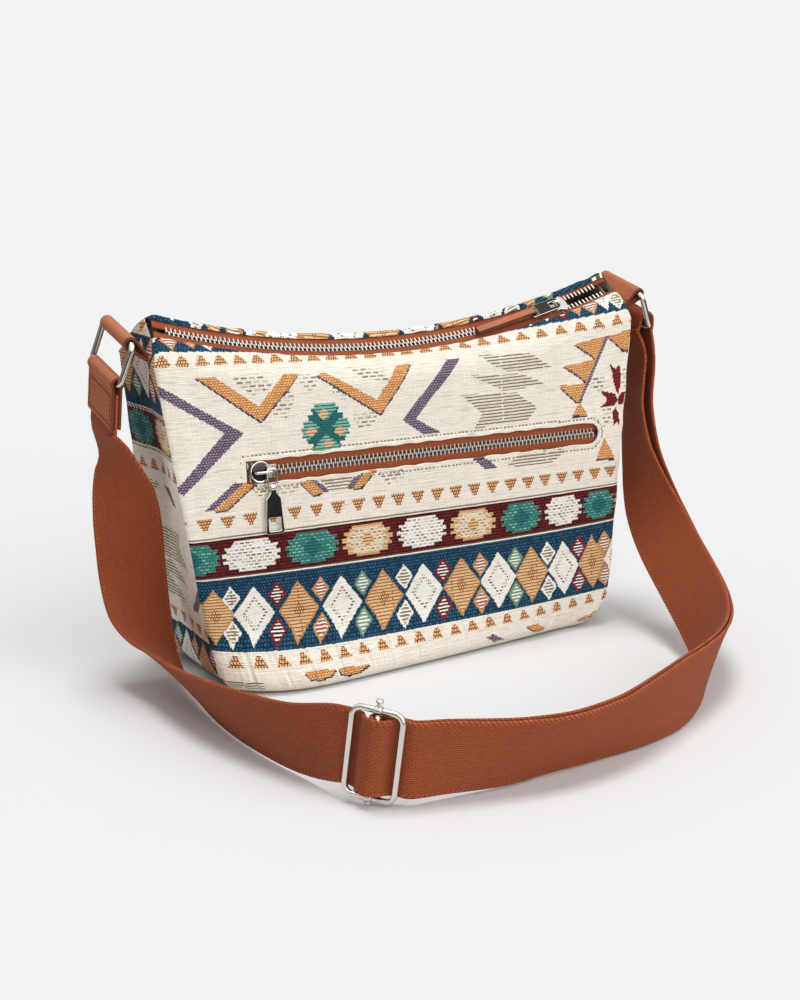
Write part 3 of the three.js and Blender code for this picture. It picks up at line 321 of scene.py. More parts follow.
def mathNode(tree, operation, *values):
    return makeNode(tree, "ShaderNodeMath", dict(enumerate(values)), operation=operation).outputs[0]


def vectorMath(tree, operation, *values):
    return makeNode(tree, "ShaderNodeVectorMath", dict(enumerate(values)), operation=operation).outputs[0]


def noise(tree, place, scale, detail):
    return makeNode(tree, "ShaderNodeTexNoise", {"Vector": place, "Scale": scale, "Detail": detail}).outputs


def mapRange(tree, value, target, source=(0.0, 1.0)):
    limits = dict(zip(("From Min", "From Max", "To Min", "To Max"), (*source, *target)))
    return makeNode(tree, "ShaderNodeMapRange", {"Value": value, **limits}).outputs[0]


def multiplied(tree, first, second):
    return mixColour(tree, 1.0, first, second, "MULTIPLY")


# A place that slow noise shakes a little, so that threads don't run dead straight
def shaken(tree, place, scale, reach):
    shake = vectorMath(tree, "MULTIPLY", noise(tree, place, scale, 1.0)["Color"], reach)
    return vectorMath(tree, "ADD", place, shake)


# Threads laid in short staggered floats: a tint for the colour, with painted shade darkening the hollows
# between floats by Gap, and a height for the bump
def makeThreadGroup():
    group = bpy.data.node_groups.new("threadFloats", "ShaderNodeTree")
    inputs = {"Place": "Vector", "Colour": "Color", "Length": "Float", "Width": "Float"}
    inputs.update({"Gap": "Float", "Spread": "Float"})
    addSockets(group, inputs, {"Colour": "Color", "Height": "Float"})
    source = group.nodes.new("NodeGroupInput").outputs
    place = shaken(group, source["Place"], 0.35, (0.4, 0.25, 0.4))
    look = {"Vector": place, "Color1": grey(0), "Color2": grey(1), "Mortar": grey(0.5)}
    look.update({"Scale": 1.0, "Mortar Size": 0.16, "Mortar Smooth": 1.0})
    look.update({"Brick Width": source["Length"], "Row Height": source["Width"]})
    floats = makeNode(group, "ShaderNodeTexBrick", look, offset=0.5, squash=1.0)
    tone = mathNode(group, "SUBTRACT", floats.outputs["Color"], 0.5)
    tone = mathNode(group, "MULTIPLY_ADD", tone, source["Spread"], 1.0)
    # Painted shade in the hollows between floats, as dark as Gap
    dark = mathNode(group, "MULTIPLY", floats.outputs["Fac"], source["Gap"])
    shade = mathNode(group, "SUBTRACT", tone, dark)
    tinted = multiplied(group, source["Colour"], shade)
    height = mathNode(group, "SUBTRACT", 1.0, floats.outputs["Fac"])
    end = group.nodes.new("NodeGroupOutput")
    group.links.new(tinted, end.inputs["Colour"])
    group.links.new(height, end.inputs["Height"])
    return group


# Fine pores and clouding, for leather and worn metal
def makeGrainGroup():
    group = bpy.data.node_groups.new("fineGrain", "ShaderNodeTree")
    inputs = {"Place": "Vector", "Pores": "Float", "Clouds": "Float"}
    addSockets(group, inputs, {"Cloud": "Float", "Height": "Float"})
    source = group.nodes.new("NodeGroupInput").outputs
    cells = {"Vector": source["Place"], "Scale": source["Pores"]}
    pores = makeNode(group, "ShaderNodeTexVoronoi", cells, feature="SMOOTH_F1")
    cloud = noise(group, source["Place"], source["Clouds"], 5.0)["Fac"]
    height = mathNode(group, "MULTIPLY_ADD", cloud, 0.8, pores.outputs["Distance"])
    end = group.nodes.new("NodeGroupOutput")
    group.links.new(cloud, end.inputs["Cloud"])
    group.links.new(height, end.inputs["Height"])
    return group


threadGroup = makeThreadGroup()
grainGroup = makeGrainGroup()


# Floats of one colour bonded over a ground of another, from the paint on the cloth's faces
def wovenColour(tree, place):
    ground = makeNode(tree, "ShaderNodeAttribute", attribute_name="ground").outputs["Color"]
    over = makeNode(tree, "ShaderNodeAttribute", attribute_name="float").outputs
    sizes = makeNode(tree, "ShaderNodeAttribute", attribute_name="floatSize").outputs["Vector"]
    parts = makeNode(tree, "ShaderNodeSeparateXYZ", {0: sizes}).outputs
    bond = {"Vector": shaken(tree, place, 0.6, (0.8, 0.5, 0)), "Scale": 1.0, "Mortar Smooth": 0.3}
    bond.update({"Color1": over["Color"], "Color2": ground, "Mortar": ground, "Bias": over["Alpha"]})
    bond.update({"Brick Width": parts["X"], "Row Height": parts["Y"], "Mortar Size": parts["Z"]})
    return makeNode(tree, "ShaderNodeTexBrick", bond, offset=0.5, squash=1.0).outputs["Color"]


# How far across from its face, in mm, a webbing's under side is laid in its map
underAt = 60.0


# Cords twisted along both edges of a webbing
def twistedEdge(tree, place, colour, start):
    parts = makeNode(tree, "ShaderNodeSeparateXYZ", {0: place}).outputs
    across = mathNode(tree, "ABSOLUTE", mathNode(tree, "WRAP", parts["Y"], underAt / 2, -underAt / 2))
    atEdge = mathNode(tree, "GREATER_THAN", across, start)
    lay = mathNode(tree, "MULTIPLY", mathNode(tree, "ADD", parts["X"], across), 2.3)
    twist = mathNode(tree, "MULTIPLY_ADD", mathNode(tree, "SINE", lay), 0.32, 1.12)
    return mixColour(tree, atEdge, colour, multiplied(tree, colour, twist))


# Sizes in mm: the place comes from the piece's own UV map, or from its Object coordinates
def threadMaterial(name, look):
    material, tree, shader = newMaterial(name)
    if look.get("objectScale"):
        where = makeNode(tree, "ShaderNodeTexCoord").outputs["Object"]
        place = vectorMath(tree, "MULTIPLY", where, (look["objectScale"],) * 3)
    else:
        place = makeNode(tree, "ShaderNodeUVMap", uv_map="cloth").outputs[0]
    base = wovenColour(tree, place) if look.get("woven") else (*linear(look["colour"]), 1.0)
    slow = noise(tree, place, look["patchScale"], 3.0)["Fac"]
    toned = multiplied(tree, base, mapRange(tree, slow, (1 - look["patch"], 1.0)))
    if look.get("slub"):
        drawn = vectorMath(tree, "MULTIPLY", place, (0.07, 1.2, 0))
        slubs = noise(tree, drawn, 1.0, 2.0)["Fac"]
        toned = multiplied(tree, toned, mapRange(tree, slubs, (1.0, 1 - look["slub"]), (0.57, 0.68)))
    if look.get("selvedge"):
        toned = twistedEdge(tree, place, toned, look["selvedge"])
    laid = {"Place": place, "Colour": toned}
    laid.update({key.title(): look[key] for key in ("length", "width", "gap", "spread")})
    weave = makeNode(tree, "ShaderNodeGroup", laid, node_tree=threadGroup).outputs
    height = mathNode(tree, "MULTIPLY_ADD", noise(tree, place, 2.2, 2.0)["Fac"], 0.5, weave["Height"])
    bump = makeNode(tree, "ShaderNodeBump", {"Height": height, "Strength": look["bump"], "Distance": 0.0004})
    finish = {"Base Color": weave["Colour"], "Normal": bump.outputs[0], "Roughness": 0.92}
    finish.update({"Specular IOR Level": 0.2, "Sheen Weight": look["sheen"], "Sheen Roughness": 0.5})
    setInputs(tree, shader, finish)
    return material


# In these looks gap sets how dark the painted shade in the hollows between floats is
jacquard = threadMaterial(
    "jacquardCloth",
    dict(
        woven=True, patch=0.06, patchScale=0.03, length=5.5, width=0.92, gap=0.2, spread=0.1,
        slub=0.22, bump=0.8, sheen=0.04,
    ),
)
webbing = threadMaterial(
    "strapWebbing",
    dict(
        colour="A04E2B", patch=0.1, patchScale=0.03, length=2.7, width=1.07, gap=0.6, spread=0.16,
        selvedge=16.7, bump=1.0, sheen=0.05,
    ),
)
tapeCloth = threadMaterial(
    "zipTapeCloth",
    dict(
        colour="B05C36", patch=0.12, patchScale=0.1, length=1.5, width=0.75, gap=0.45, spread=0.2,
        bump=0.9, sheen=0.05,
    ),
)
liningLook = dict(
    colour="B9A284", patch=0.1, patchScale=0.05, length=0.8, width=0.5, gap=0.3, spread=0.15,
    bump=0.4, sheen=0.03, objectScale=1000.0,
)
liningCloth = threadMaterial("liningCloth", liningLook)
stitchThread = threadMaterial("stitchThread", dict(liningLook, colour="6B3A22"))


# Grain at a place on the piece, and its colour clouded with a darker share of itself
def grainOn(tree, pores, clouds, code, darker):
    where = makeNode(tree, "ShaderNodeTexCoord").outputs["Object"]
    grown = {"Place": where, "Pores": pores, "Clouds": clouds}
    grain = makeNode(tree, "ShaderNodeGroup", grown, node_tree=grainGroup).outputs
    dark = (*(linear(code) * darker), 1.0)
    return grain, mixColour(tree, grain["Cloud"], dark, (*linear(code), 1.0))


def leatherMaterial(name, code, roughness):
    material, tree, shader = newMaterial(name)
    grain, colour = grainOn(tree, 1500.0, 160.0, code, 0.66)
    bump = makeNode(tree, "ShaderNodeBump", {"Height": grain["Height"], "Strength": 0.35, "Distance": 0.0003})
    finish = {"Base Color": colour, "Normal": bump.outputs[0]}
    setInputs(tree, shader, {**finish, "Roughness": roughness, "Specular IOR Level": 0.35})
    return material


leather = leatherMaterial("tabLeather", "B5673F", 0.5)
leatherEdge = leatherMaterial("leatherEdge", "70351D", 0.65)


def metalMaterial(name, code, roughness):
    material, tree, shader = newMaterial(name)
    grain, colour = grainOn(tree, 2400.0, 700.0, code, 0.86)
    rough = mapRange(tree, grain["Cloud"], (roughness * 0.6, roughness * 1.6))
    setInputs(tree, shader, {"Base Color": colour, "Roughness": rough, "Metallic": 1.0})
    return material


nickel = metalMaterial("nickelPlate", "E2DED6", 0.14)
# A darker copy of the nickel, with a dark reflection painted into its colour, for flat faces and the pocket
# slider's dome face
paintedReflectionNickel = metalMaterial("paintedReflectionNickel", "3E3D3B", 0.18)
toothNickel = metalMaterial("toothNickel", "DAD6CE", 0.36)

# Background, light and camera: metal mirrors the floor dark from a way off, and a room of its own above it
stageLook = dict(
    floorColour="DDDDDD",
    paperColour="F2F2F2",
    floorReach=6.0,
    floorZ=-0.4,
    worldLight=0.38,
    mirrorFade=(0.35, 0.7),
    mirrorTone=0.03,
    mirrorEnds=(0.5, 1.0),
    mirrorStops=((0.06, 0.16), (0.2, 0.22), (0.34, 0.85), (0.6, 1.1)),
    keyPower=1.7,
    keyTurn=(-6, 0, -8),
    keyAngle=22,
    fillPower=2.1,
    fillTurn=(62, 0, 12),
    fillAngle=80,
    eye=(-0.4861, -0.8844, 0.3293),
    eyeTurn=(76.38, 0, -29.2),
    lens=62.5,
)


def makeStage():
    reach, level = stageLook["floorReach"] / mm, stageLook["floorZ"]
    floorLook, tree, shader = newMaterial("floorPaper")
    where = makeNode(tree, "ShaderNodeTexCoord").outputs["Object"]
    paper = linear(stageLook["floorColour"])
    tone = mixColour(tree, noise(tree, where, 40.0, 2.0)["Fac"], (*(paper * 0.995), 1.0), (*paper, 1.0))
    away = makeNode(tree, "ShaderNodeVectorMath", {0: where}, operation="LENGTH").outputs["Value"]
    far = mapRange(tree, away, (0.0, 1.0), stageLook["mirrorFade"])
    glossy = mathNode(tree, "MULTIPLY", far, makeNode(tree, "ShaderNodeLightPath").outputs["Is Glossy Ray"])
    colour = mixColour(tree, glossy, tone, grey(stageLook["mirrorTone"]))
    setInputs(tree, shader, {"Base Color": colour, "Roughness": 1.0, "Specular IOR Level": 0.0})
    corners = [(reach * x, reach * y, level) for x, y in ((-1, -1), (1, -1), (1, 1), (-1, 1))]
    pieceFrom("floor", corners, [(0, 1, 2, 3)], floorLook)

    world = bpy.data.worlds.new("studio")
    scene.world = world
    world.use_nodes = True
    tree = world.node_tree
    tree.nodes.clear()
    path = makeNode(tree, "ShaderNodeLightPath")
    where = makeNode(tree, "ShaderNodeTexCoord").outputs["Generated"]
    height = makeNode(tree, "ShaderNodeSeparateXYZ", {0: where}).outputs["Z"]
    ramp = makeNode(tree, "ShaderNodeValToRGB", {"Fac": height})
    stops = ramp.color_ramp.elements
    for number, value in enumerate(stageLook["mirrorEnds"]):
        stops[number].position, stops[number].color = number, grey(value)
    for position, value in stageLook["mirrorStops"]:
        stops.new(position).color = grey(value)
    seen = (*linear(stageLook["paperColour"]), 1.0)
    bounce = mixColour(tree, path.outputs["Is Glossy Ray"], grey(stageLook["worldLight"]), ramp.outputs[0])
    colour = mixColour(tree, path.outputs["Is Camera Ray"], bounce, seen)
    background = makeNode(tree, "ShaderNodeBackground", {"Color": colour, "Strength": 1.0})
    end = makeNode(tree, "ShaderNodeOutputWorld")
    tree.links.new(background.outputs[0], end.inputs["Surface"])

    for label in ("key", "fill"):
        lamp = bpy.data.lights.new(label, "SUN")
        lamp.energy = stageLook[label + "Power"]
        lamp.angle = math.radians(stageLook[label + "Angle"])
        turn = stageLook[label + "Turn"]
        linked(label, lamp).rotation_euler = [math.radians(a) for a in turn]

    camera = bpy.data.cameras.new("eye")
    camera.lens = stageLook["lens"]
    holder = linked("eye", camera)
    holder.location = stageLook["eye"]
    holder.rotation_euler = [math.radians(a) for a in stageLook["eyeTurn"]]
    scene.camera = holder
    scene.view_settings.view_transform = "Standard"


makeStage()
print("stage done")


# Zip arc along the mouth: turn along the arc, across the rows, off their plane
zipArc = dict(radius=507.0, lowX=-11.0, lowZ=179.5, y=-10.5, tilt=math.radians(40), half=151.0)


def zipPoint(turn, across, off):
    turn = np.asarray(turn, float)
    tilt = zipArc["tilt"]
    rise = across * np.sin(tilt) + off * np.cos(tilt)
    y = zipArc["y"] + across * np.cos(tilt) - off * np.sin(tilt)
    radius = zipArc["radius"] - rise
    x = zipArc["lowX"] + radius * np.sin(turn)
    z = zipArc["lowZ"] + zipArc["radius"] - radius * np.cos(turn)
    return np.stack([x, y + 0 * x, z], -1)


def zipTurnAt(x):
    return np.arcsin((x - zipArc["lowX"]) / zipArc["radius"])


mouthTurns = (zipTurnAt(-zipArc["half"]), zipTurnAt(zipArc["half"]))

# Body of the bag
bag = dict(
    baseHalf=131.0,
    shoulderHalf=157.0,
    shoulderHeight=190.0,
    footY=44.0,
    corner=16.0,
    frontCorner=7.0,
    endCorner=28.0,
    leftCorner=11.0,
    seamY=12.0,
    lean=0.095,
    frontBulge=15.0,
    frontBulgeTop=40.0,
    backBulge=7.0,
    backBulgeTop=160.0,
    lift=2.3,
    lapStart=9.6,
    lapEdge=6.5,
    frontDrop=15.0,
    backDrop=22.5,
    frontCrest=9.0,
    backCrest=(5.4, 0.8),
    seamGap=0.15,
    dent=4.0,
    clothLevel=86,
    clothStretch=1.0045,
)


def halfWidthAt(z):
    return bag["baseHalf"] + (bag["shoulderHalf"] - bag["baseHalf"]) * z / bag["shoulderHeight"]


def sideAt(z, u):
    corner = np.where(np.asarray(u) < 0, bag["leftCorner"], bag["endCorner"])
    short = np.maximum(corner - z, 0)
    return halfWidthAt(z) - corner + np.sqrt(corner**2 - short**2)


def wallAt(z):
    return -bag["footY"] + bag["lean"] * (z - bag["corner"])


# Height in the cloth's pattern at a height on a wall
def clothAt(z):
    return bag["clothLevel"] + (z - bag["clothLevel"]) * bag["clothStretch"]


def swellAt(u, z, front):
    if front:
        share = np.minimum(z, bag["frontBulgeTop"]) / bag["frontBulgeTop"]
        return bag["frontBulge"] * (1 - u**6) * (1 - u) * np.cos(math.pi / 2 * share) ** 2
    share = np.minimum(z, bag["backBulgeTop"]) / bag["backBulgeTop"]
    return bag["backBulge"] * (1 - u * u) * np.sin(math.pi * share) ** 2


# Line up a panel at u from -1 to 1, from the seam under the base to the zip,
# and the pattern's height along it
def panelLine(u, front):
    side = -1 if front else 1
    turn = mouthTurns[0] + (mouthTurns[1] - mouthTurns[0]) * (u + 1) / 2
    lapStart = zipPoint(turn, side * bag["lapStart"], bag["lift"])
    edge = zipPoint(turn, side * bag["lapEdge"], bag["lift"])
    wallTop = lapStart[2] - bag["frontDrop" if front else "backDrop"]
    corner = bag["frontCorner"] if front else bag["corner"]
    inner = bag["footY"] - corner
    flat = np.linspace(bag["seamY"] + side * bag["seamGap"], side * (inner + swellAt(u, 0, front)), 14)[:-1]
    share = np.linspace(0, 1, 14)
    bend = share * (math.pi / 2 - math.atan(bag["lean"]))
    cornerZ = corner * (1 - np.cos(bend))
    cornerY = inner + corner * np.sin(bend) + (bag["corner"] - corner) * bag["lean"] * share
    cornerY = cornerY + swellAt(u, cornerZ, front)
    z = np.linspace(cornerZ[-1], wallTop, 91)[1:]
    wallY = -wallAt(z) + swellAt(u, z, front)
    first, wallEnd = len(flat) + len(share), len(flat) + len(share) + len(z)
    y = np.concatenate([flat, side * cornerY, side * wallY])
    z = np.concatenate([0 * flat, cornerZ, z])
    points = np.stack([u * sideAt(z, u), y, z], -1)
    low = points[-1]
    if front:
        crestZ = wallTop + bag["frontCrest"]
        crestY = wallAt(crestZ)
    else:
        crestY, crestZ = lapStart[1:] + np.array(bag["backCrest"])
    crest = np.array([(low[0] + lapStart[0]) / 2, crestY, crestZ])
    t = np.linspace(0, 1, 20)[1:, None]
    curl = low * (1 - t) ** 2 + 2 * crest * t * (1 - t) + lapStart * t * t
    lap = lapStart + (edge - lapStart) * np.linspace(0, 1, 5)[1:, None]
    points = np.concatenate([points, curl, lap])
    height = runOf(points)
    cloth = np.empty(len(points))
    cloth[first:wallEnd] = clothAt(points[first:wallEnd, 2])
    cloth[:first] = cloth[first] - (height[first] - height[:first])
    cloth[wallEnd:] = cloth[wallEnd - 1] + (height[wallEnd:] - height[wallEnd - 1])
    return points, cloth


def gridNormals(grid):
    return unit(np.cross(np.gradient(grid, axis=1), np.gradient(grid, axis=0)))


# Colours of the cloth's threads
threadCodes = dict(
    cream="F9F1E3",
    white="FDF9F0",
    ivory="EFE2C6",
    blue="2F6A8E",
    deepBlue="0F2A3E",
    red="8A2127",
    deepRed="3A090E",
    teal="2A7B72",
    mint="93C6B2",
    navy="1E4A5C",
    tan="CF9A62",
    straw="ECCC95",
    orange="CC7436",
    honey="F3CB8E",
    rust="A9542D",
    brick="93402A",
    purple="463A54",
    lilac="A592A0",
    olive="8B8055",
    green="7C9D80",
    brown="68503A",
)
threads = {name: linear(code) for name, code in threadCodes.items()}

# Floats that cross a field: length and row height of their bond and the gap round each, in mm,
# and how evenly they show, from -1 for all of them up to 0 for any share
floatSizes = dict(
    plain=(3.0, 1.83, 0.3, -1),
    mesh=(1.9, 1.83, 0.4, -0.3),
    lattice=(1.9, 1.4, 0.3, -0.6),
    grains=(1.6, 1.83, 0.34, -1),
    rows=(40.0, 1.83, 0.36, -1),
    lines=(60.0, 1.83, 0.55, -1),
    marks=(3.3, 1.83, 0.62, -0.05),
    dots=(2.6, 1.83, 0.55, -0.7),
    sparse=(5.0, 2.3, 0.78, -0.3),
)


def insidePolygon(x, v, corners):
    inside = np.zeros(len(x), bool)
    for (ax, av), (bx, bv) in zip(corners, corners[1:] + corners[:1]):
        if av == bv:
            continue
        crosses = (av > v) != (bv > v)
        inside ^= crosses & (x < ax + (v - av) * (bx - ax) / (bv - av))
    return inside


# Fields of the woven pattern, in mm across and up the front; it repeats up the cloth
pattern = dict(
    repeat=168.0,
    start=20.2,
    bond=1.83,
    fleck=0.85,
    blueTop=61.3,
    blueNext=188.2,
    redBand=(63.5, 84.1),
    ovals=[
        (-142, "teal", 15.0), (-107, "white", 16.3), (-69.6, "teal", 15.6), (-34.6, "tan", 15.2),
        (1.3, "white", 15.2), (36, "tan", 14.6), (70, "teal", 13.2), (100.4, "white", 12.4),
        (126.8, "teal", 11.0), (151, "tan", 11.5),
    ],
    ovalSize=(9.6, 73.8),
    diamonds=[
        (-157, "white"), (-131.2, "tan"), (-107.5, "white"), (-80.2, "tan"), (-52.8, "white"),
        (-25.8, "tan"), (0.9, "white"), (26.7, "tan"), (52.3, "white"), (76, "tan"),
        (99.3, "white"), (120.5, "tan"), (139.5, "white"), (157, "tan"),
    ],
    diamondSize=(((-140, 12.4), (40, 13.0), (130, 10.4)), 16.8, 38.6),
    smallDiamonds=[
        (-144, "tan"), (-121, "white"), (-93.3, "red"), (-66, "tan"), (-39.2, "green"),
        (-12, "white"), (14, "red"), (40, "tan"), (64.5, "green"), (87.8, "white"),
        (110.5, "red"), (130, "tan"), (148, "white"),
    ],
    smallSize=(5.7, 7.5, (49.0, 28.2)),
    upTriangles=dict(base=179.5, apex=185.8, half=4.2, start=-151.2, pitch=11.23, spread=0.0455, count=27),
    lowTriangles=dict(base=180.8, apex=186.4, half=4.0, start=-148.5, pitch=12.64, spread=0.0, count=25),
    downTriangles=dict(base=98.0, apex=91.4, half=4.2, start=-147.4, pitch=13.84, spread=-0.0429, count=25),
    orange=[
        [(-134, 173.5), (-96.6, 147), (-71.4, 171.7), (-81, 172), (-97.5, 155.7), (-123, 173)],
        [(-61.7, 170.4), (-22, 144.5), (1, 172.6), (-9, 171.8), (-24, 153), (-55, 170.8)],
        [(-128, 101.5), (-120, 101.5), (-101, 114.5), (-109, 115)],
        [(-75.8, 111.8), (-68.5, 112.2), (-61.1, 104.4), (-67.2, 103)],
        [(-42.6, 103.9), (-36.4, 104.5), (-25.9, 114.3), (-35.1, 111.9)],
        [(112.3, 172.6), (135.5, 174.7), (127.7, 161.2), (123.8, 164.7)],
        [(103.4, 161), (127.7, 161.4), (120, 148.8), (116.8, 152.3)],
        [(99.8, 149.5), (121.3, 149), (115.6, 138.4), (111.7, 139.3)],
        [(115, 138.5), (108.8, 131), (120.6, 130.3)],
        [(136.8, 174), (154.5, 175.7), (152, 163), (147.8, 164)],
        [(132.8, 116), (125.7, 103.6), (139.7, 102.7)],
    ],
    purple=[
        [(-158.5, 172), (-107.4, 141.6), (-144.4, 111.7), (-148, 115.7), (-118.6, 142.7), (-156.7, 165.3)],
        [(-134, 102), (-128, 102), (-109, 114.8), (-114.5, 115.5)],
        [(24.7, 172.7), (-8.4, 140), (4.7, 130.5), (16.6, 130.5), (0.4, 140), (33.7, 172.7)],
        [(36.5, 114.6), (46, 105.3), (55.3, 105.3), (44, 114.6)],
        [(-68.9, 112.3), (-65.3, 111.9), (-57, 104.7), (-60.2, 103.8)],
        [(-46.8, 104.4), (-42.5, 104.3), (-35, 112.7), (-41.3, 110.5)],
        [(135.3, 174), (113.6, 138), (115.8, 138), (137.8, 174)],
    ],
    stripes=[
        [(45.9, 173.1), (80.1, 171), (96.2, 160.7), (64.6, 161.4), (52, 167.8)],
        [(38.1, 161.6), (74.2, 159.4), (91.4, 151.3), (60.9, 150.8), (49.4, 156.3)],
        [(31.3, 150.8), (69.4, 149), (84.2, 138.5), (76.3, 131), (39.8, 130.6), (45.4, 138.7)],
        [(74.5, 115.4), (111.2, 116.2), (93.9, 104.9), (60, 105.3)],
        [(-63, 111.6), (-40.7, 112.1), (-46.8, 104.4), (-57, 104.5)],
    ],
    sparse=[
        [(-113, 172.5), (-93.8, 173), (-88.7, 165.9), (-99.9, 161), (-108.8, 167.3)],
        [(-72.6, 171.1), (-61.2, 170.4), (-61.6, 163), (-66.5, 161), (-71, 165)],
        [(-90.6, 151), (-79.6, 163.6), (-75, 159.9), (-81.3, 147.3)],
        [(-52, 168.5), (-42.7, 160), (-44.8, 153.7), (-52.3, 160.3)],
        [(-41.5, 147.6), (-23.8, 147.1), (-26.1, 140), (-36.1, 137.1)],
        [(-40.1, 173.4), (-18.6, 170.2), (-14.9, 162.6), (-32.6, 165.7)],
        [(-108.6, 113.9), (-104.1, 117.3), (-88.6, 111.7), (-71.1, 111), (-80.3, 105.4), (-100.5, 106.5)],
        [(122.9, 153), (133.9, 150.1), (131.4, 141.4), (123.8, 145.6)],
        [(143.3, 152.2), (150.9, 154.4), (150.6, 141.9), (144.3, 144.9)],
        [(-26, 112), (-10, 113), (-8, 106), (-20, 104)],
        [(131.9, 133.1), (138.4, 132.3), (136.4, 125.5), (131.5, 121.8)],
    ],
    flower=dict(
        middle=(-57.3, 140.6),
        outline=[
            (127.6, 7.4), (131, 9.5), (134, 12.6), (137, 14.8),
            (142, 14.8), (145, 12), (149, 8.6), (153.8, 7.2),
        ],
        holes=[
            (-58.2, 148, 3.6, 3.6), (-66.4, 138.8, 4.2, 3.0),
            (-48.6, 137.6, 4.2, 3.0), (-56.2, 131.2, 3.8, 2.6),
        ],
    ),
    cross=[
        [
            (137.1, 158.4), (142, 154), (145.4, 156.2), (146.1, 152.7), (145.7, 145.4),
            (143.5, 139.8), (142.3, 140.6), (140, 147.2), (139.8, 152),
        ],
        [
            (131, 143), (141, 140.4), (142.9, 136.8), (140.7, 133.7), (135.7, 133.7),
            (129.7, 133.8), (134.3, 136), (135.1, 138.4), (131.9, 140.8),
        ],
        [
            (142.9, 136.8), (145.3, 140), (149.9, 140.8), (148, 137.3), (148.3, 134.3),
            (143.8, 133.6),
        ],
        [
            (141.5, 132.8), (143.7, 129.3), (144, 125.5), (144.1, 121.3), (142.4, 124),
            (140.4, 123.6), (139.5, 121.4), (139.1, 127.5), (138.6, 129.8),
        ],
    ],
    footOrange=[
        [(-87.8, 9.6), (-68, 9.2), (-71.6, 6.1), (-79.4, 4.6), (-85.8, 6.1)],
        [(-67.1, 9.0), (-46.6, 7.9), (-53.1, 5.0), (-61, 4.2), (-66.5, 6)],
        [(66.5, 9.2), (76.4, 8.7), (82.6, 2.9), (74.1, 2.9)],
        [(107, 3.6), (122.5, 7.3), (126, 5), (110, 0.6)],
    ],
    footPurple=[[(36.4, 7.9), (41.7, 8.9), (50, 3.8), (42.4, 3.3)]],
    footStripes=[[(-131, 7), (-112, 7), (-110, 1), (-129, 2.4)]],
)


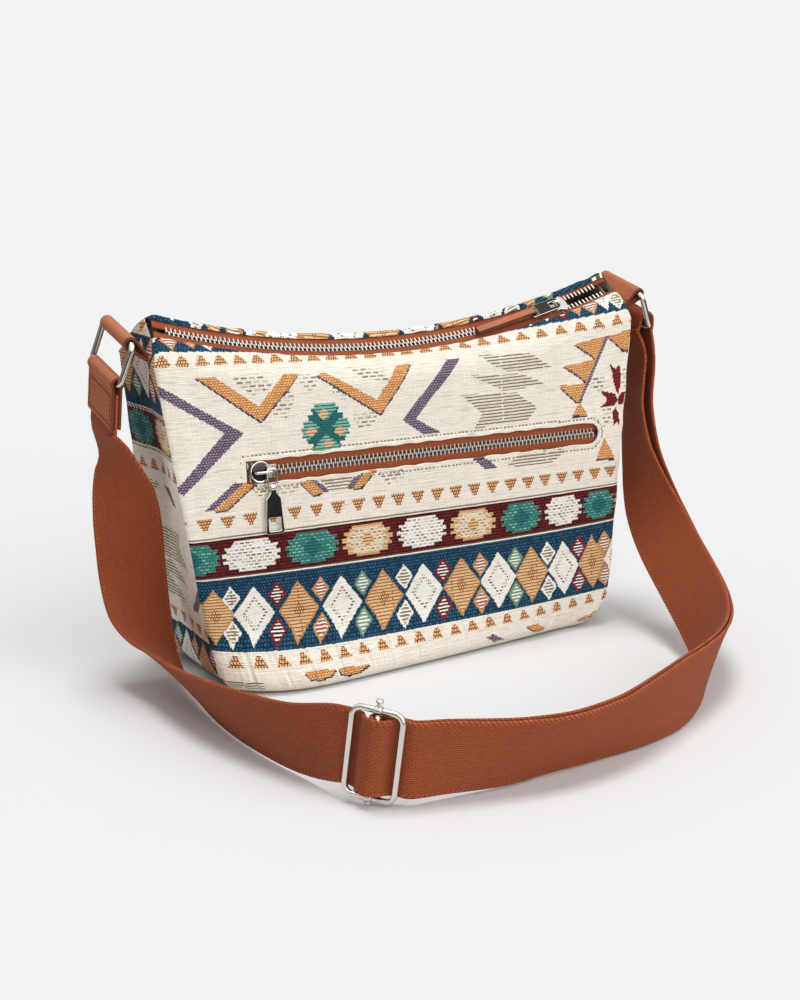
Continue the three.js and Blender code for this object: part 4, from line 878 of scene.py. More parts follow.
# Paint of the cloth at places across and up it: a ground, the floats over it, and how far they stand up
def paintCloth(x, v, slant=0.0):
    start, bond = pattern["start"], pattern["bond"]
    foot = v < start
    w = (v - start) % pattern["repeat"] + start
    across = x + slant
    ground = np.tile(threads["cream"], (len(x), 1))
    over = ground.copy()
    sizes = np.tile(floatSizes["plain"], (len(x), 1))
    lift = np.zeros(len(x))

    def lay(mask, name, height=0.2, other=None, kind="plain"):
        ground[mask] = threads[name]
        over[mask] = threads[other or name]
        sizes[mask] = floatSizes[kind]
        lift[mask] = height

    lay((w < pattern["blueTop"]) | (w > pattern["blueNext"]), "deepBlue", 0.05, "blue", "mesh")
    low, high = pattern["redBand"]
    lay((w > low) & (w < high), "deepRed", 0.05, "red", "mesh")
    lay((w > low - 1.4) & (w < low - 0.6), "brown", 0)
    lay((w > high + 1.1) & (w < high + 2.0), "olive", 0.1, "brown", "rows")

    # Ovals are stacked floats, each second row a little longer
    halfV, middle = pattern["ovalSize"]
    for centre, name, half in pattern["ovals"]:
        level = np.floor((w - middle) / bond)
        dx, dv = np.abs(x - centre), np.abs((level + 0.5) * bond)
        reach = half * np.maximum(1 - (dv / halfV) ** 2.2, 0) ** 0.45 + np.where(level % 2 == 0, 1.1, -1.1)
        oval = (dx < reach) & (dv < halfV)
        if name == "white":
            lay(oval, "white", 0.35, "brown", "marks")
        elif name == "teal":
            lay(oval, "teal", 0.35, "mint", "marks")
            lay(oval & (dx / 6.5 + dv / 5.5 < 1), "navy", 0.35, "teal", "rows")
        else:
            lay(oval, "tan", 0.35, "straw", "rows")
            lay((dx < reach - 3.4) & (dv < halfV - 2.6), "ivory", 0.35, "rust", "marks")
            lay(dx / 4.6 + dv / 4.2 < 1, "rust", 0.35, "honey", "rows")

    # White diamonds carry a dotted inner diamond, tan ones rows of floats round a red middle
    halves, halfV, middle = pattern["diamondSize"]
    for centre, name in pattern["diamonds"]:
        halfX = np.interp(centre, *zip(*halves))
        for level in (middle, middle + pattern["repeat"]):
            reach = np.abs(across - centre) / halfX + np.abs(w - level) / halfV
            if name == "white":
                lay(reach < 1, "white", 0.35)
                lay((reach > 0.46) & (reach < 0.64), "white", 0.35, "brown", "dots")
            else:
                lay(reach < 1, "tan", 0.35)
                lay(reach < 0.9, "rust", 0.35, "straw", "rows")
                lay(reach < 0.3, "brick", 0.35, "honey", "grains")
    halfX, halfV, levels = pattern["smallSize"]
    inner = {"white": "olive", "tan": "rust", "red": "deepRed", "green": "green"}
    for centre, name in pattern["smallDiamonds"]:
        for level in levels + tuple(level + pattern["repeat"] for level in levels):
            reach = np.abs(across - centre) / halfX + np.abs(w - level) / halfV
            lay(reach < 1, name, 0.3)
            lay(reach < 0.72, inner[name], 0.3, "white", "lines")

    upper = ~foot | (v < -4)
    for key, where in (("upTriangles", ~foot), ("lowTriangles", foot & (v > 0)), ("downTriangles", upper)):
        look = pattern[key]
        k = np.arange(look["count"])
        centres = look["start"] + look["pitch"] * k + look["spread"] * k * k
        nearest = centres[np.argmin(np.abs(x[:, None] - centres[None, :]), axis=1)]
        share = (w - look["base"]) / (look["apex"] - look["base"])
        stepped = np.floor(np.clip(share, 0, 0.999) * 4) / 4
        tooth = (share > 0) & (share < 1) & (np.abs(x - nearest) < look["half"] * (1 - stepped * 0.9)) & where
        lay(tooth, "brick", 0.3, "honey", "grains")

    def fill(key, places, where, *look):
        for corners in pattern[key]:
            lay(insidePolygon(x, places, corners) & where, *look)

    fill("sparse", w, upper, "cream", 0.1, "olive", "sparse")
    fill("stripes", w, upper, "cream", 0.2, "olive", "lines")
    fill("footStripes", v, foot, "cream", 0.2, "olive", "lines")
    fill("orange", w + 1.2, upper, "purple", 0.2)
    fill("footOrange", v + 1.0, foot, "purple", 0.2)
    fill("orange", w, upper, "orange", 0.3, "honey", "lattice")
    fill("footOrange", v, foot, "orange", 0.3, "honey", "lattice")
    fill("purple", w, upper, "purple", 0.3, "lilac", "lattice")
    fill("footPurple", v, foot, "purple", 0.3, "lilac", "lattice")
    fill("cross", w, upper, "red", 0.3, "deepRed", "dots")

    flower = pattern["flower"]
    heights, reaches = zip(*flower["outline"])
    level = (np.floor(w / bond) + 0.5) * bond
    spread = np.interp(level, heights, reaches) + np.where(np.floor(w / bond) % 2 == 0, 0.7, -0.7)
    dx, dv = np.abs(x - flower["middle"][0]), np.abs(w - flower["middle"][1])
    inside = (dx < spread) & (level > heights[0]) & (level < heights[-1]) & upper
    lay(inside, "mint", 0.3, "teal", "lines")
    lay(inside & (np.abs(dx - dv * 1.1) < 4), "teal", 0.3, "navy", "lattice")
    for hx, hv, halfX, halfV in flower["holes"]:
        hole = np.abs(x - hx) / halfX + np.abs(w - hv) / halfV < 1
        lay(hole & upper, "ivory", 0.1, "tan", "rows")

    # Small differences from thread to thread
    row, column = np.floor(w / pattern["fleck"]), np.floor(x / pattern["fleck"])
    dither = np.mod(np.sin(row * 12.9898 + column * 78.233) * 43758.5453, 1)
    tint = 1 + 0.07 * (dither[:, None] - 0.5) + 0.03 * np.sin(row * 2.4)[:, None]
    return dict(ground=ground * tint, over=over * tint, sizes=sizes, lift=lift)


# The cloth is cut a little off the straight: heights on the wall, and the rise of its rows there at each end
cutOff = dict(
    z=(10, 20, 30, 42, 52, 64, 85, 97, 120, 170),
    left=(1.0, 3.2, 6.0, 5.2, 3.8, 1.9, 0.7, -0.9, 0, 2.0),
    right=(1.5, 2.6, 1.8, 2.4, 2.0, 2.6, 1.2, -0.2, 0, 5.5),
)


def clothLift(u, z):
    return np.interp(z, cutOff["z"], cutOff["left" if u < 0 else "right"]) * abs(u) ** 3


# Grid of a panel whose rows follow the woven rows
def panelGrid(look, front):
    places = np.linspace(-1, 1, look["columns"] + 1)
    columns, cloths = [], []
    for u in places:
        line, cloth = panelLine(u, front)
        cloth = cloth - clothLift(u, line[:, 2]) * look["cut"]
        under = np.linspace(cloth[0], look["foot"], look["underRows"] + 1)[:-1]
        over = np.linspace(look["top"], cloth[-1], look["overRows"] + 1)[1:]
        wanted = np.concatenate([under, np.linspace(look["foot"], look["top"], look["rows"] + 1), over])
        columns.append(lineAt(line, cloth, wanted))
        cloths.append(wanted)
    grid, cloth = np.stack(columns, 1), np.stack(cloths, 1)
    normals = gridNormals(grid)
    return np.broadcast_to(places[None, :], cloth.shape), grid, cloth, normals if front else -normals


slotShape = dict(left=-108.0, right=129.0, half=7.25, z=119.5)


# Distance out from the pocket slot's outline, negative inside it
def slotDistance(x, up):
    half = slotShape["half"]
    roundX = slotShape["right"] - half
    cap = np.hypot(x - roundX, up) - half
    box = np.maximum(np.abs(up) - half, slotShape["left"] - x)
    return np.where(x > roundX, cap, box)


wallUp = unit(np.array([0, bag["lean"], 1.0]))
wallOff = np.array([0, -wallUp[2], wallUp[1]])
slotMiddle = np.array([0, wallAt(slotShape["z"]), slotShape["z"]])


# Slow waves across and up a cloth, from -1 to 1
def ripple(u, v, seed):
    bends = [1.7 * np.sin(v / (23 + 7 * k) + k) for k in range(5)]
    return sum(np.sin(u * (9 + 5.3 * k) + seed * (k + 1) + bend) for k, bend in enumerate(bends)) / 5


seams = dict(lip=1.6, lipDepth=1.1, tug=0.45, tugReach=9.0)


# How far the cloth draws in: rolled at the side seams and at the zip's edge, tugged along the seams,
# with soft ripples on the wall and wrinkles at the foot
def panelSink(look, u, grid, cloth):
    z = grid[..., 2]
    sideGap = (1 - np.abs(u)) * sideAt(z, u)
    roll = np.clip(1 - sideGap / look["roll"], 0, 1)
    lip = np.clip(1 - (cloth[-1][None, :] - cloth) / seams["lip"], 0, 1)
    sink = look["rollDepth"] * (1 - np.sqrt(1 - roll**2)) + seams["lipDepth"] * (1 - np.sqrt(1 - lip**2))
    wave = np.sin(cloth / 4.1 + 2 * np.sin(cloth / 19))
    sink = sink + seams["tug"] * np.exp(-sideGap / seams["tugReach"]) * wave
    soft = look["ripple"] * ripple(u * 3, cloth, look["seed"]) * smoothstep(z, 12, 40)
    wrinkle = ripple(u * 9, cloth * 3, look["seed"] + 3) * smoothstep(46 - z, 0, 24) * smoothstep(z, 1, 7)
    return sink - soft - look["wrinkle"] * wrinkle


panelCloth = dict(underRows=18, overRows=34, foot=-3.0, top=171.0, roll=5.0, rollDepth=2.6, ripple=0.5)
frontCloth = dict(
    panelCloth,
    columns=372,
    rows=205,
    cut=1.0,
    wrinkle=0.9,
    seed=2.0,
    pucker=0.35,
    puckerReach=7,
    puckerSpan=(95, 145),
    slotSpan=(100, 140),
    slant=0.7,
    stitchFoot=110,
    stitchGap=(1.5, 2.4),
    stitchPitch=2.6,
    stitchLength=1.5,
)


def makeFrontPanel():
    look = frontCloth
    u, grid, cloth, normals = panelGrid(look, True)
    rows, columns = cloth.shape
    x, z = grid[..., 0], grid[..., 2]
    near = slotDistance(x, (grid - slotMiddle) @ wallUp)
    low, high = look["puckerSpan"]
    pucker = np.exp(-np.maximum(near, 0) / look["puckerReach"]) * ((z > low) & (z < high))
    sink = panelSink(look, u, grid, cloth)
    sink = sink + pucker * look["pucker"] * np.sin(x / 5.2 + 1.3 * np.sin(x / 17))

    faces = gridFaces(rows, columns)
    flatX, flatV = x.ravel(), cloth.ravel()
    slant = (look["slant"] * swellAt(u, z, True)).ravel()
    paint = paintCloth(flatX[faces].mean(1), flatV[faces].mean(1), slant[faces].mean(1))
    raised = np.zeros(rows * columns)
    for k in range(4):
        np.add.at(raised, faces[:, k], paint["lift"] / 4)
    points = grid + normals * (raised.reshape(rows, columns) - sink)[..., None]
    edges = points[look["underRows"] - 1 : -4, [0, -1]].copy()

    middleZ = z.ravel()[faces].mean(1)
    gap = near.ravel()[faces].mean(1)
    low, high = look["slotSpan"]
    gone = (gap < 0) & (middleZ > low) & (middleZ < high)
    low, high = look["stitchGap"]
    sewn = np.mod(flatX[faces].mean(1), look["stitchPitch"]) < look["stitchLength"]
    stitch = (gap > low) & (gap < high) & (middleZ > look["stitchFoot"]) & sewn
    for key in ("ground", "over"):
        paint[key][stitch] = threads["olive"]
    kept, lost = faces[~gone], faces[gone]
    flat = points.reshape(-1, 3)
    # Points on the cut edge are moved down the distance's slope onto the slot's outline
    probe = 0.05
    for i in np.intersect1d(kept.ravel(), lost.ravel()):
        startX, startUp = flat[i, 0], (flat[i] - slotMiddle) @ wallUp
        edgeX, edgeUp = startX, startUp
        for _ in range(3):
            d = slotDistance(edgeX, edgeUp)
            slopeX = (slotDistance(edgeX + probe, edgeUp) - d) / probe
            slopeUp = (slotDistance(edgeX, edgeUp + probe) - d) / probe
            edgeX, edgeUp = edgeX - d * slopeX, edgeUp - d * slopeUp
        flat[i] += np.array([edgeX - startX, 0, 0]) + wallUp * (edgeUp - startUp)
    used, compact = np.unique(kept, return_inverse=True)
    panel = pieceFrom("front_cloth", flat[used], compact.reshape(kept.shape).tolist(), jacquard)
    giveUv(panel, np.stack([flatX, flatV], -1)[used])
    givePaint(panel, {key: value[~gone] for key, value in paint.items()})
    settle(panel, "bag", "jacquard", "front_panel")
    return edges


slotHem = dict(depth=1.0, thick=0.85, sides=10, sink=0.4, step=1.3, wave=0.28)


# Cloth turned in round the pocket slot, as a rolled hem
def makeSlotHem():
    look, half = slotHem, slotShape["half"]
    roundX = slotShape["right"] - half
    straight = np.linspace(slotShape["left"], roundX, int((roundX - slotShape["left"]) / look["step"]))
    cap = np.linspace(math.pi / 2, -math.pi / 2, 20)[1:-1]
    end = np.linspace(-half, half, 12)[1:-1]
    x = np.concatenate([straight, roundX + half * np.cos(cap), straight[::-1], 0 * end + slotShape["left"]])
    up = np.concatenate([0 * straight + half, half * np.sin(cap), 0 * straight - half, end])
    wave = look["wave"] * np.sin(x / 3.1 + 1.6 * np.sin(x / 11) + np.sign(up))
    line = slotMiddle + x[:, None] * np.array([1.0, 0, 0]) + (up - np.sign(up) * wave)[:, None] * wallUp
    line = line - wallOff * look["sink"]
    points, faces = wireAlong(line, wallOff, (look["depth"], look["thick"]), sides=look["sides"])
    hem = pieceFrom("pocket_slot_hem", points, faces, jacquard)
    station, turn = np.divmod(np.arange(len(points)), look["sides"])
    place = np.stack([x[station], clothAt(slotShape["z"] + up[station]) + turn * 0.3], -1)
    giveUv(hem, place)
    middle = place[np.array(faces)].mean(1)
    givePaint(hem, paintCloth(middle[:, 0], middle[:, 1]))
    return settle(hem, "bag", "jacquard")


backCloth = dict(panelCloth, columns=300, rows=180, cut=0.5, wrinkle=0.6, seed=4.0, shift=70.0)


def makeBackPanel():
    look = backCloth
    u, grid, cloth, normals = panelGrid(look, False)
    rows, columns = cloth.shape
    x = grid[..., 0].ravel()
    sink = panelSink(look, u, grid, cloth)
    faces = gridFaces(rows, columns)[:, ::-1]
    flatV = cloth.ravel()
    wide = bag["shoulderHalf"]
    middleX = np.mod(-x[faces].mean(1) + look["shift"] + wide, 2 * wide) - wide
    paint = paintCloth(middleX, flatV[faces].mean(1))
    points = grid - normals * sink[..., None]
    panel = pieceFrom("back_cloth", points.reshape(-1, 3), faces.tolist(), jacquard)
    giveUv(panel, np.stack([-x, flatV], -1))
    givePaint(panel, paint)
    settle(panel, "bag", "jacquard", "back_panel")
    return points[look["underRows"] - 1 : -4, [0, -1]]


gussetCloth = dict(columns=80, rows=210, turnOver=215.5, across=55.0, ripple=0.4)


# Side cloth, sewn along the edges of the front and the back
def makeGusset(label, end, frontEdge, backEdge):
    look = gussetCloth

    def evenly(edge):
        run = runOf(edge)
        return lineAt(edge, run, np.linspace(0, run[-1], look["rows"] + 1))[:, None, :]

    share = np.linspace(0, 1, look["columns"] + 1)[None, :]
    height = np.linspace(0, 1, look["rows"] + 1)[:, None]
    grid = evenly(frontEdge) * (1 - share[..., None]) + evenly(backEdge) * share[..., None]
    grid[..., 0] -= end * bag["dent"] * np.sin(np.pi * height) * np.sin(np.pi * share) ** 2
    soft = ripple(share * 2 + 0 * height, grid[..., 2], 5.0 + end)
    grid[..., 0] += look["ripple"] * soft * np.sin(np.pi * share)
    rows, columns = grid.shape[:2]
    faces = gridFaces(rows, columns)
    if end < 0:
        faces = faces[:, ::-1]
    x, v = (look["across"] + grid[..., 1]).ravel(), (look["turnOver"] - grid[..., 2]).ravel()
    paint = paintCloth(x[faces].mean(1), v[faces].mean(1))
    panel = pieceFrom(label + "_side_cloth", grid.reshape(-1, 3), faces.tolist(), jacquard)
    giveUv(panel, np.stack([x, v], -1))
    givePaint(panel, paint)
    return settle(panel, "bag", "jacquard", label + "_gusset")


frontEdges = makeFrontPanel()
makeSlotHem()
backEdges = makeBackPanel()
for number, (label, end) in enumerate((("left", -1), ("right", 1))):
    makeGusset(label, end, frontEdges[:, number], backEdges[:, number])
print("cloth done")


# Strap: stops of its middle line and the direction across it there, three values each
strap = dict(
    width=38.0,
    thickness=1.8,
    step=3.0,
    layerGap=0.6,
    spread=4.0,
    ringLoop=(5.0, 8.6),
    tab=(5.95, 15.6, 28.0, 35.0),
    left=[
        (-168.5, 4.5, 126, -0.3, 0.93, 0.12),
        (-164.5, 3, 105.5, -0.74, 0.66, 0),
        (-162, 5, 83, -0.93, 0.35, -0.08),
        (-160, 6.5, 60, -0.98, 0.19, -0.08),
        (-159, 0, 38.5, -0.99, -0.05, 0.09),
        (-159, -17, 24, -0.87, -0.17, 0.45),
        (-158.5, -38, 17.5, -0.73, -0.08, 0.68),
        (-160, -69, 16.5, -0.6, 0.03, 0.8),
        (-159.5, -104, 17.6, -0.47, 0, 0.88),
        (-155, -139, 19, -0.32, -0.05, 0.95),
        (-146, -176, 21, -0.13, -0.03, 0.99),
    ],
    right=[
        (-98, -233.5, 22, -0.04, -0.1, 0.99),
        (-65, -238, 19.4, -0.03, -0.28, 0.96),
        (-33, -238, 18.6, 0.02, -0.42, 0.91),
        (-2, -233.5, 18.8, 0.04, -0.36, 0.93),
        (28, -225, 19.4, 0.02, -0.15, 0.99),
        (57, -212.5, 19.6, 0, -0.02, 1),
        (84, -196, 19.4, 0.08, -0.1, 0.99),
        (108, -176, 19.4, 0.19, -0.23, 0.95),
        (128, -151.5, 21.4, 0.35, -0.37, 0.86),
        (142.5, -124.5, 27.5, 0.52, -0.44, 0.73),
        (152, -96.5, 38, 0.65, -0.46, 0.6),
        (158, -69.5, 53, 0.63, -0.54, 0.56),
        (163, -46, 73, 0.34, -0.74, 0.58),
        (168.5, -28.5, 98.5, -0.08, -0.85, 0.52),
        (175.5, -14.5, 126.5, -0.25, -0.88, 0.39),
        (180, -5, 156, -0.12, -0.96, 0.27),
    ],
    climbAt=(1.0, 0.64, 0.38),
    cuts=(13, 38),
    selvedge=0.12,
    nearAdjuster=60,
    returnRun=900.0,
)

# Ring stations: the upper bar's middle is the pivot, and the ring leans out from it
ringTilt = math.radians(12)
barDirection = np.array((0, math.cos(ringTilt), math.sin(ringTilt)))
stationUp = np.array((0, -math.sin(ringTilt), math.cos(ringTilt)))
rings = dict(
    left=dict(out=np.array((-1.0, 0, 0)), pivot=np.array((-166.0, -2.0, 197.213)), lean=math.radians(16)),
    right=dict(out=np.array((1.0, 0, 0)), pivot=np.array((166.0, -2.0, 204.078)), lean=math.radians(25)),
    wire=1.7,
    height=23.4,
    width=43.4,
    corner=3.0,
)
for ringLabel in ("left", "right"):
    ring = rings[ringLabel]
    ring["down"] = ring["out"] * math.sin(ring["lean"]) - stationUp * math.cos(ring["lean"])
    ring["lowerBar"] = ring["pivot"] + ring["down"] * rings["height"]

adjuster = dict(
    centre=np.array((-128.6, -219.6, 25.0)),
    along=unit(np.array((0.646, -0.756, -0.107))),
    across=np.array((0.1, -0.055, 0.993)),
    width=25.2,
    height=43.3,
    corner=4.5,
    wire=1.5,
    bar=1.3,
    sleeve=2.4,
    sleeveLength=3.6,
    barPlay=1.1,
    knob=[(0.95, 0), (0.95, 1.4), (1.75, 1.7), (1.95, 2.4), (1.6, 3.1), (0.8, 3.4)],
    stud=[(1.0, 0), (1.25, 0.5), (1.0, 1.0), (0.5, 1.3)],
)
adjuster["across"] = unit(adjuster["across"] - adjuster["along"] * (adjuster["across"] @ adjuster["along"]))
adjuster["face"] = np.cross(adjuster["along"], adjuster["across"])
onAdjuster = placer(adjuster["centre"], adjuster["along"], adjuster["across"], adjuster["face"])


# A smooth curve through points, at places counted in points along it
def curveThrough(points, places):
    points = np.asarray(points, float)
    padded = np.concatenate([[2 * points[0] - points[1]], points, [2 * points[-1] - points[-2]]])
    result = []
    for place in places:
        k = int(min(math.floor(place), len(points) - 2))
        t = place - k
        p0, p1, p2, p3 = padded[k : k + 4]
        d0, d1, d2 = (max(np.linalg.norm(b - a), 1e-6) ** 0.5 for a, b in ((p0, p1), (p1, p2), (p2, p3)))
        m1 = ((p1 - p0) / d0 - (p2 - p0) / (d0 + d1) + (p2 - p1) / d1) * d1
        m2 = ((p2 - p1) / d1 - (p3 - p1) / (d1 + d2) + (p3 - p2) / d2) * d1
        c2 = -3 * p1 + 3 * p2 - 2 * m1 - m2
        c3 = 2 * p1 - 2 * p2 + m1 + m2
        result.append(p1 + m1 * t + c2 * t * t + c3 * t**3)
    return np.array(result)


# Middle line, direction across and face of a ribbon through its stops
def ribbonSections(stops, step):
    points = np.array([p for p, _ in stops])
    wide = unit(np.array([d for _, d in stops], float))
    places = []
    for k in range(len(points) - 1):
        count = max(3, int(round(np.linalg.norm(points[k + 1] - points[k]) / step)))
        places += list(k + np.arange(count) / count)
    places = np.array(places + [len(points) - 1])
    line = curveThrough(points, places)
    tangent = unit(np.gradient(line, axis=0))
    turnedWide = curveThrough(wide * 50, places)
    turnedWide = unit(turnedWide - tangent * np.sum(turnedWide * tangent, -1, keepdims=True))
    return dict(place=places, line=line, wide=turnedWide, face=unit(np.cross(turnedWide, tangent)))


# The strap goes out from the left ring's end tab through the adjuster and over the right ring,
# and comes back under itself to the adjuster's bar
def strapRoutes():
    def onBar(label, x, y):
        return rings[label]["lowerBar"] + rings[label]["out"] * x + stationUp * y

    def stopsOf(route):
        return [(np.array(r[:3], float), np.array(r[3:], float)) for r in route]

    def atFrame(x, off):
        return (onAdjuster((x, 0, off)), adjuster["across"])

    half = adjuster["width"] / 2
    behind = -(adjuster["wire"] + strap["thickness"])
    loop = adjuster["bar"] + adjuster["barPlay"] + strap["thickness"] / 2
    over = loop + strap["thickness"] + strap["layerGap"]
    outer, middle, inner = (half * share for share in strap["climbAt"])
    climb = [(half + 5, behind), (outer, behind), (middle, behind * 0.4), (inner, over * 0.66)]
    stops = [(onBar("left", 0, -down), barDirection) for down in strap["tab"]]
    stops += stopsOf(strap["left"])
    stops += [atFrame(-x, off) for x, off in climb]
    stops += [atFrame(0, over)]
    stops += [atFrame(x, off) for x, off in reversed(climb)]
    first = len(stops)
    stops += stopsOf(strap["right"])
    last = len(stops) - 1
    bend, rise = strap["ringLoop"]
    turns = [(bend, -strap["spread"] * 2)]
    turns += [(bend * math.cos(a), rise * math.sin(a)) for a in np.linspace(0, math.pi, 5)]
    turns += [(-bend, -strap["spread"] * 2)]
    stops += [(onBar("right", x, y), -barDirection) for x, y in turns]
    outward = ribbonSections(stops, strap["step"])

    top = last + 4
    back = []
    for place in (top, top + 1, top + 2, top + 3, *np.arange(last, first - 0.01, -0.5)):
        k = int(np.argmin(np.abs(outward["place"] - place)))
        leaving = float(smoothstep(place, last - 5, last - 1))
        apart = strap["thickness"] + strap["layerGap"] + strap["spread"] * leaving if place <= last else 0
        back.append((outward["line"][k] + outward["face"][k] * apart, outward["wide"][k]))
    inside = behind - strap["thickness"] - strap["layerGap"]
    spots = ((half + 4, inside), (half, inside), (half * 0.55, -loop * 1.1), (0, -loop))
    back += [atFrame(*spot) for spot in spots]
    for turn in (-0.75, -1, -1.25, -1.45):
        back.append(atFrame(loop * math.cos(math.pi * turn), loop * math.sin(math.pi * turn)))
    return outward, ribbonSections(back, strap["step"]), top


flatSteps = 16


# Section of a flat strip, round at its edges and a little thicker along the selvedge
def stripSection(width, thickness, selvedge):
    half, thick = width / 2, thickness / 2
    across = np.linspace(half - thick, -half + thick, flatSteps + 1)
    puff = selvedge * smoothstep(np.abs(across), half - 3.2, half - 1.6)
    top = np.stack([across, thick - selvedge + puff], -1)
    bend = np.linspace(math.pi / 2, 3 * math.pi / 2, 6)[1:-1]
    left = np.stack([-half + thick + thick * np.cos(bend), thick * np.sin(bend)], -1)
    loop = np.concatenate([top, left])
    return np.concatenate([loop, -loop])


# The end faces have points of their own, so the strip is shaded evenly up to its ends
def stripMesh(line, wide, face, section):
    points = line[:, None] + wide[:, None] * section[None, :, :1] + face[:, None] * section[None, :, 1:]
    rows, columns = points.shape[:2]
    faces = gridFaces(rows, columns, roundColumns=True).tolist()
    faces.append([rows * columns + k for k in range(columns)])
    faces.append([(rows + 1) * columns + k for k in reversed(range(columns))])
    return np.concatenate([points, points[[0, -1]]]).reshape(-1, 3), faces


def makeStrapPiece(name, sections, start, end):
    index = np.arange(start, end + 1)
    line, wide, face = (sections[key][index] for key in ("line", "wide", "face"))
    section = stripSection(strap["width"], strap["thickness"], strap["selvedge"])
    points, faces = stripMesh(line, wide, face, section)
    piece = pieceFrom(name, points, faces, webbing)
    columns = len(section)
    across = np.where(np.arange(columns) < columns // 2, section[:, 0], underAt + section[:, 0])
    run = sections["run"][[*index, start, end]]
    giveUv(piece, np.stack(np.broadcast_arrays(run[:, None], across[None, :]), -1).reshape(-1, 2))
    return piece, line


def makeStrap():
    outward, back, top = strapRoutes()
    for sections, start in ((outward, 0.0), (back, strap["returnRun"])):
        sections["run"] = start + runOf(sections["line"])
        local = sections["line"] - adjuster["centre"]
        near = np.linalg.norm(local, axis=1) < strap["nearAdjuster"]
        sections["x"] = np.where(near, local @ adjuster["along"], np.inf)

    def cutAt(sections, value):
        return int(np.argmin(np.abs(sections["x"] - value)))

    made, lines = {}, {}
    near, far = strap["cuts"]
    ringTop = int(np.argmin(np.abs(outward["place"] - top)))
    marks = [0, *(cutAt(outward, x) for x in (-far, -near, 0, near, far)), ringTop]
    names = ["left", "left_near", "bight_left", "bight_right", "right_near", "right"]
    for name, a, b in zip(names, marks[:-1], marks[1:]):
        made[name], lines[name] = makeStrapPiece("strap_" + name, outward, a, b)
    marks = [0, cutAt(back, far), cutAt(back, near), len(back["x"]) - 1]
    for name, a, b in zip(["return", "return_near", "bar_loop"], marks[:-1], marks[1:]):
        made[name], lines[name] = makeStrapPiece("strap_" + name, back, a, b)
    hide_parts("strap")

    for name, start, end in (
        ("left_near", "bag", "adjuster"),
        ("bight_left", "adjuster", "adjuster_bar"),
        ("bight_right", "adjuster_bar", "adjuster"),
        ("right_near", "adjuster", "bag"),
        ("return_near", "bag", "adjuster"),
    ):
        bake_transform(made[name])
    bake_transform(made["left"])
    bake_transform(made["right"])
    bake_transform(made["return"])
    nearBar = [(onAdjuster((x, 0, -4)) * mm).tolist() for x in (12, 3)]
    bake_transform(made["bar_loop"])
    for name, others in (
        ("left", ["left_near"]),
        ("right", ["right_near", "bight_left", "bight_right"]),
        ("return", ["return_near", "bar_loop"]),
    ):
        line = lines[name] * mm
        length = float(np.linalg.norm(np.diff(line, axis=0), axis=1).sum())
        print("strap", name, "length", round(length, 4))
        [made[other] for other in others]


makeStrap()
print("strap done")


# A hollow collar about the third axis, from a closed loop of (radius, height) pairs
def collar(inner, outer, half, steps=24):
    ease = (outer - inner) * 0.3
    loop = [(inner, -half), (outer - ease, -half), (outer, ease - half), (outer, half - ease)]
    loop += [(outer - ease, half), (inner, half)]
    angle = np.linspace(0, 2 * math.pi, steps, endpoint=False)
    points = [np.stack([r * np.cos(angle), r * np.sin(angle), 0 * angle + h], -1) for r, h in loop]
    return np.concatenate(points), gridFaces(len(loop), steps, True, True)[:, ::-1].tolist()


def makeRing(label):
    ring = rings[label]
    loop = roundedLoop(rings["height"] / 2, rings["width"] / 2, rings["corner"] + 0.5)
    middle = ring["pivot"] + ring["down"] * rings["height"] / 2
    line = middle + loop[:, :1] * ring["down"] + loop[:, 1:] * barDirection
    normal = unit(np.cross(ring["down"], barDirection))
    points, faces = wireAlong(line, normal, (rings["wire"], rings["wire"]), sides=20, squareness=0.9)
    wire = pieceFrom(label + "_ring_wire", points, faces, nickel)
    return settle(wire, label + "_ring", "nickel", label + "_ring")


def makeAdjuster():
    look = adjuster
    loop = roundedLoop(look["width"] / 2, look["height"] / 2, look["corner"], 8)
    line = onAdjuster(np.column_stack([loop, np.zeros(len(loop))]))
    points, faces = wireAlong(line, look["face"], (look["wire"], look["wire"]), sides=20, squareness=0.75)
    frameWire = pieceFrom("adjuster_wire", points, faces, nickel)
    settle(frameWire, "adjuster", "nickel", "adjuster_frame")

    reach = look["height"] / 2
    rod = onAdjuster([(0, y, 0) for y in np.linspace(2 - reach, reach - 2, 9)])
    parts = [(*wireAlong(rod, look["face"], (look["bar"], look["bar"]), closed=False), 0, True)]
    sleevePoints, sleeveFaces = collar(look["wire"] + 0.3, look["sleeve"], look["sleeveLength"] / 2)
    for side in (-1, 1):
        turnedSleeve = [sleevePoints[:, 2], side * reach + sleevePoints[:, 1], -sleevePoints[:, 0]]
        parts.append((onAdjuster(np.stack(turnedSleeve, -1)), sleeveFaces, 0, True))
    top = reach + look["sleeve"] - 0.2
    for side, profile in ((1, look["knob"]), (-1, look["stud"])):
        points, faces = turned(profile, 16)
        end = np.stack([points[:, 0], side * (top + points[:, 2]), -side * points[:, 1]], -1)
        parts.append((onAdjuster(end), faces, 0, True))
    bar = assemble("adjuster_cross_bar", parts, [nickel])
    return settle(bar, "adjuster_bar", "nickel", "adjuster_bar")


for ringLabel in ("left", "right"):
    makeRing(ringLabel)
makeAdjuster()
print("rings and adjuster done")

# Zips: teeth clamped on a corded edge of each tape, parted past the slider
zips = dict(
    pitch=2.7,
    parting=2.4,
    sliderLength=11.0,
    tapeInner=2.7,
    tapeThickness=0.8,
    beadAt=2.3,
    beadRadius=0.62,
    beadSides=8,
    toothOutline=[(-0.5, 0.3), (-0.2, 0.5), (0.5, 0.56), (0.8, 0.5), (2.5, 0.5), (2.85, 0.36)],
    toothHalf=1.1,
    toothEase=0.28,
)


def partingAt(distance):
    return zips["parting"] * smoothstep(distance, -zips["sliderLength"] / 2, zips["sliderLength"] / 5)


